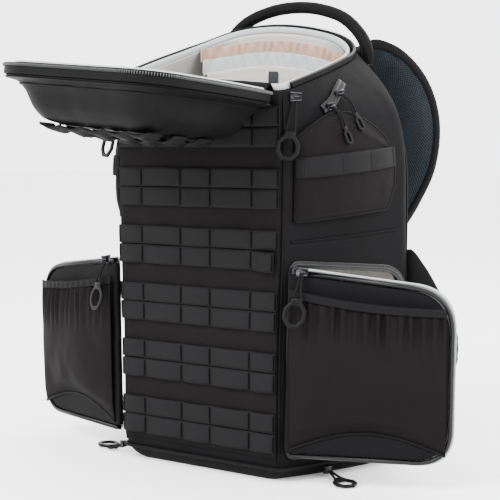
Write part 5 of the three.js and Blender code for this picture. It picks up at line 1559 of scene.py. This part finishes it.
for side, sign in (("Right", 1), ("Left", -1)):
    low = side.lower()
    place = doorPlace(sign)
    outer = unit(place((0, -1, 0)) - place((0, 0, 0)))
    swell = lambda p, s, isFront: (-1.2 if isFront else 0) * (1 - s ** 4) + (0.5 if isFront else 0) * rumple((p[0], 0, p[1]), 30, 1)
    panel = plate("doorPanel" + side, doorLoop(-door["edge"] - 0.35),
                  [(-0.2, 1.0), (-0.8, 0), (-6.2, 0), (-6.9, 1.2)], place, looks["bodyCloth"], swell)
    wear(panel, "body_fabric", "door_panel_" + low)
    lining = plate("doorLining" + side, doorLoop(1.3, late=6), [(3.3, 1.2), (2.4, 0), (1.0, 0), (0.4, 1.0)],
                   place,
                   looks["paleCloth"])
    wear(lining, "pale_lining", "door_lining_" + low)
    edgeLoop = doorLoop(-door["edge"] / 2)
    edgeLine = np.array([place([p[0], 0, p[1]]) for p in edgeLoop[14:-14]])
    section = [(0.5, -1.9), (6.6, -1.9), (7.5, -1.2), (7.6, 0.9), (6.9, 2.0), (5.6, 2.3), (1.4, 2.3),
               (0.5, 1.8)]
    edge = sweep("doorEdge" + side, edgeLine, outer, [(o, s * sign) for o, s in section],
                 [looks["coatedTape"]])
    wear(edge, "zip_coil", "door_zip_" + low)
    rimRun = Run()
    rimRun.add(edgeLine, outer, 1.5, lift=1.4, shift=2.6 * sign)
    rimRun.make("doorCoil" + side, (1.1, 1.2, 2.4), looks["zipCoil"], "zip_coil")
    sewing.add(edgeLine, outer, 3.0, lift=7.7, shift=-1.2 * sign)

    def face(out, fine):
        def make(u, v):
            up = v ** 0.8
            z = mix(pocketFoot(u), bandLow(u) - 0.35, up)
            turns = door["pleats"] * 2 * math.pi * (u + 0.006 * math.sin(u * 40 + sign))
            depth = 0.75 + 0.55 * noise.noise(Vector((u * 13, sign * 2.0, 0.4)))
            pleat = 2.6 * depth * math.cos(turns) * ease(up, 0.58, 0.97)
            folds = fine * (0.3 * math.cos(turns * 2.3 + 2) * ease(up, 0.8, 1)
                            + 4.2 * noise.noise(Vector((u * 3.6 + sign * 4, up * 2.2, 0.9))) * ease(min(u,
                                1 - u, up * 0.8), 0, 0.14)
                            + 0.7 * noise.noise(Vector((u * 9, up * 5.5 + sign, 2.9))) * ease(min(u, 1 - u,
                                up), 0, 0.1))
            return place((doorReach(u), -door["thick"] - 0.7 - pocketSwell(u, up) - pleat - folds - out, z))
        return grid(190, 64, make)
    outerFace = face(1.2, 1)
    cloth = slabMesh("doorPocket" + side, outerFace, face(0, 1), [looks["frontCloth"]])
    wear(cloth, "front_fabric", "door_pocket_" + low)
    flatWidth, flatLength, area = clothSize(outerFace)

    def bandFace(out):
        def make(u, v):
            ripple = 0.35 * math.cos(door["pleats"] * 2 * math.pi * (u + 0.006 * math.sin(u * 40 + sign)))
            return place((doorReach(u), -door["thick"] - 1.0 - pocketSwell(u, 1) - out - ripple,
                          bandLow(u) + v * door["bandWidth"]))
        return grid(180, 5, make)
    wear(slabMesh("doorBand" + side, bandFace(2.2), bandFace(0), [looks["elasticBand"]]), "webbing",
         "door_band_" + low)
    for v in (0.2, 0.8):
        line = [bandFace(2.3)[int(v * 5)][k] for k in range(0, 181, 3)]
        sewing.add(line, outer, 2.6, lift=0.1)
    seam = [place((doorReach(u), -door["thick"] - 1.4, pocketFoot(u) - 1)) for u in np.linspace(0, 1, 80)]
    wear(sweep("doorSeam" + side, seam, outer, roundSection(1.5, 1.4, 8), [looks["pipingCord"]]),
         "body_fabric")
    sewing.add([place((doorReach(u), -door["thick"] - 0.9, pocketFoot(u) - 5)) for u in np.linspace(0.03,
        0.97, 80)],
               outer, 3.0, lift=0.5)
    start = place((16, -door["thick"] - 3.2, door["top"] - 2))
    via = [place((14, -door["thick"] - door["bag"] * 0.76, door["top"] - 18))]
    to = place((11, -door["thick"] - door["bag"] - 1, door["top"] - 42))
    zipPull("doorPull" + side, start, via, to, place((1, 0, 0)) - place((0, 0, 0)),
            place((1, 0, -0.07)) - place((0, 0, 0)), "hex", ["door_pull_" + low])
print("doors made")

# pulls at the mouth's front corners and on the floor
lidPullRows = (("Right", 1, 17, 1, 49, (0.81, 0.58, 0)), ("Left", -1, 13, 8, 64, (0.9, -0.3, 0)))
for side, sign, forward, out, drop, across in lidPullRows:
    x, y = sign * pack["mouthWidth"] / 2, front + 12
    start = np.array([x + sign * 6, y, rimHeight(x, y) - 7])
    to = start + [sign * (out + 1), -forward, -drop]
    zipPull("lidPull" + side, start, [], to, across, across, "hex", ["lid_pull_" + side.lower()])
floorPullRows = (("Right", 1, 0.34, 7, 7.6, (11, -4, -4), (34, -22, -4.5)),
                 ("Left", -1, 0.04, 10.1, 14.3, (-15, 0, -7), (-34, 13, -7.5)))
for side, sign, along, high, out, bend, lie in floorPullRows:
    start = sidePoint(along, high, out, sign)
    start[2] = high
    across = np.cross(np.array(lie, float) - bend, upward)
    zipPull("floorPull" + side, start, [start + bend], start + lie, across, (0, 1, 0), "hex",
            ["floor_pull_" + side.lower()])
sewing.make("sewing", (2.2, 0.55, 0.4), looks["stitchThread"], "body_fabric", sides=5, rings=3)
print("pulls and sewing made")

# floor, lights and camera
studio = {"floor": (0.93, 0.93, 0.93), "sky": 4.2, "key": 130, "fill": 60, "rim": 30}


def stageFloor():
    mesh = bpy.data.meshes.new("studioFloor")
    reach = 14.0
    mesh.from_pydata([(-reach, -reach, 0), (reach, -reach, 0), (reach, reach, 0), (-reach, reach, 0)], [],
                     [[0, 1, 2, 3]])
    obj = bpy.data.objects.new("studioFloor", mesh)
    bpy.context.scene.collection.objects.link(obj)
    material = bpy.data.materials.new("studioPaper")
    material.use_nodes = True
    bench = NodeBench(material.node_tree)
    shader = material.node_tree.nodes["Principled BSDF"]
    grain = bench.add("ShaderNodeTexNoise")
    grain.inputs["Scale"].default_value = 40
    place = bench.add("ShaderNodeTexCoord")
    bench.links.new(place.outputs["Object"], grain.inputs["Vector"])
    white = (*studio["floor"], 1)
    bench.links.new(bench.mixColor(grain.outputs[0], tuple(c * 0.99 for c in white[:3]) + (1,), white),
                    shader.inputs["Base Color"])
    shader.inputs["Roughness"].default_value = 0.6
    mesh.materials.append(material)


def areaLight(name, place, target, size, power):
    light = bpy.data.lights.new(name, "AREA")
    light.shape, light.size, light.size_y, light.energy = "RECTANGLE", size[0], size[1], power
    obj = bpy.data.objects.new(name, light)
    bpy.context.scene.collection.objects.link(obj)
    obj.location = place
    obj.rotation_euler = (Vector(target) - Vector(place)).to_track_quat("-Z", "Y").to_euler()


stageFloor()
world = bpy.data.worlds.new("studioSky")
bpy.context.scene.world = world
world.use_nodes = True
world.node_tree.nodes["Background"].inputs[0].default_value = (1, 1, 1, 1)
world.node_tree.nodes["Background"].inputs[1].default_value = studio["sky"]
middle = (0, 0, 0.22)
areaLight("keyLight", (-0.4, -1.9, 1.7), middle, (1.6, 1.2), studio["key"])
areaLight("rightLight", (1.9, -0.3, 1.2), middle, (1.4, 1.4), studio["fill"])
areaLight("backLight", (0.3, 1.7, 1.5), middle, (1.6, 0.8), studio["rim"])

view = {"azimuth": 35.75, "elevation": 4.42, "place": (0.8104, -1.1178, 0.3280), "lens": 93.6}
cameraData = bpy.data.cameras.new("photoCamera")
cameraData.lens, cameraData.sensor_width = view["lens"], 36
cameraData.clip_start, cameraData.clip_end = 0.05, 60
camera = bpy.data.objects.new("photoCamera", cameraData)
bpy.context.scene.collection.objects.link(camera)
turnA, turnE = math.radians(view["azimuth"]), math.radians(view["elevation"])
looking = Vector((-math.sin(turnA) * math.cos(turnE), math.cos(turnA) * math.cos(turnE), -math.sin(turnE)))
camera.location = view["place"]
camera.rotation_euler = looking.to_track_quat("-Z", "Y").to_euler()
bpy.context.scene.camera = camera
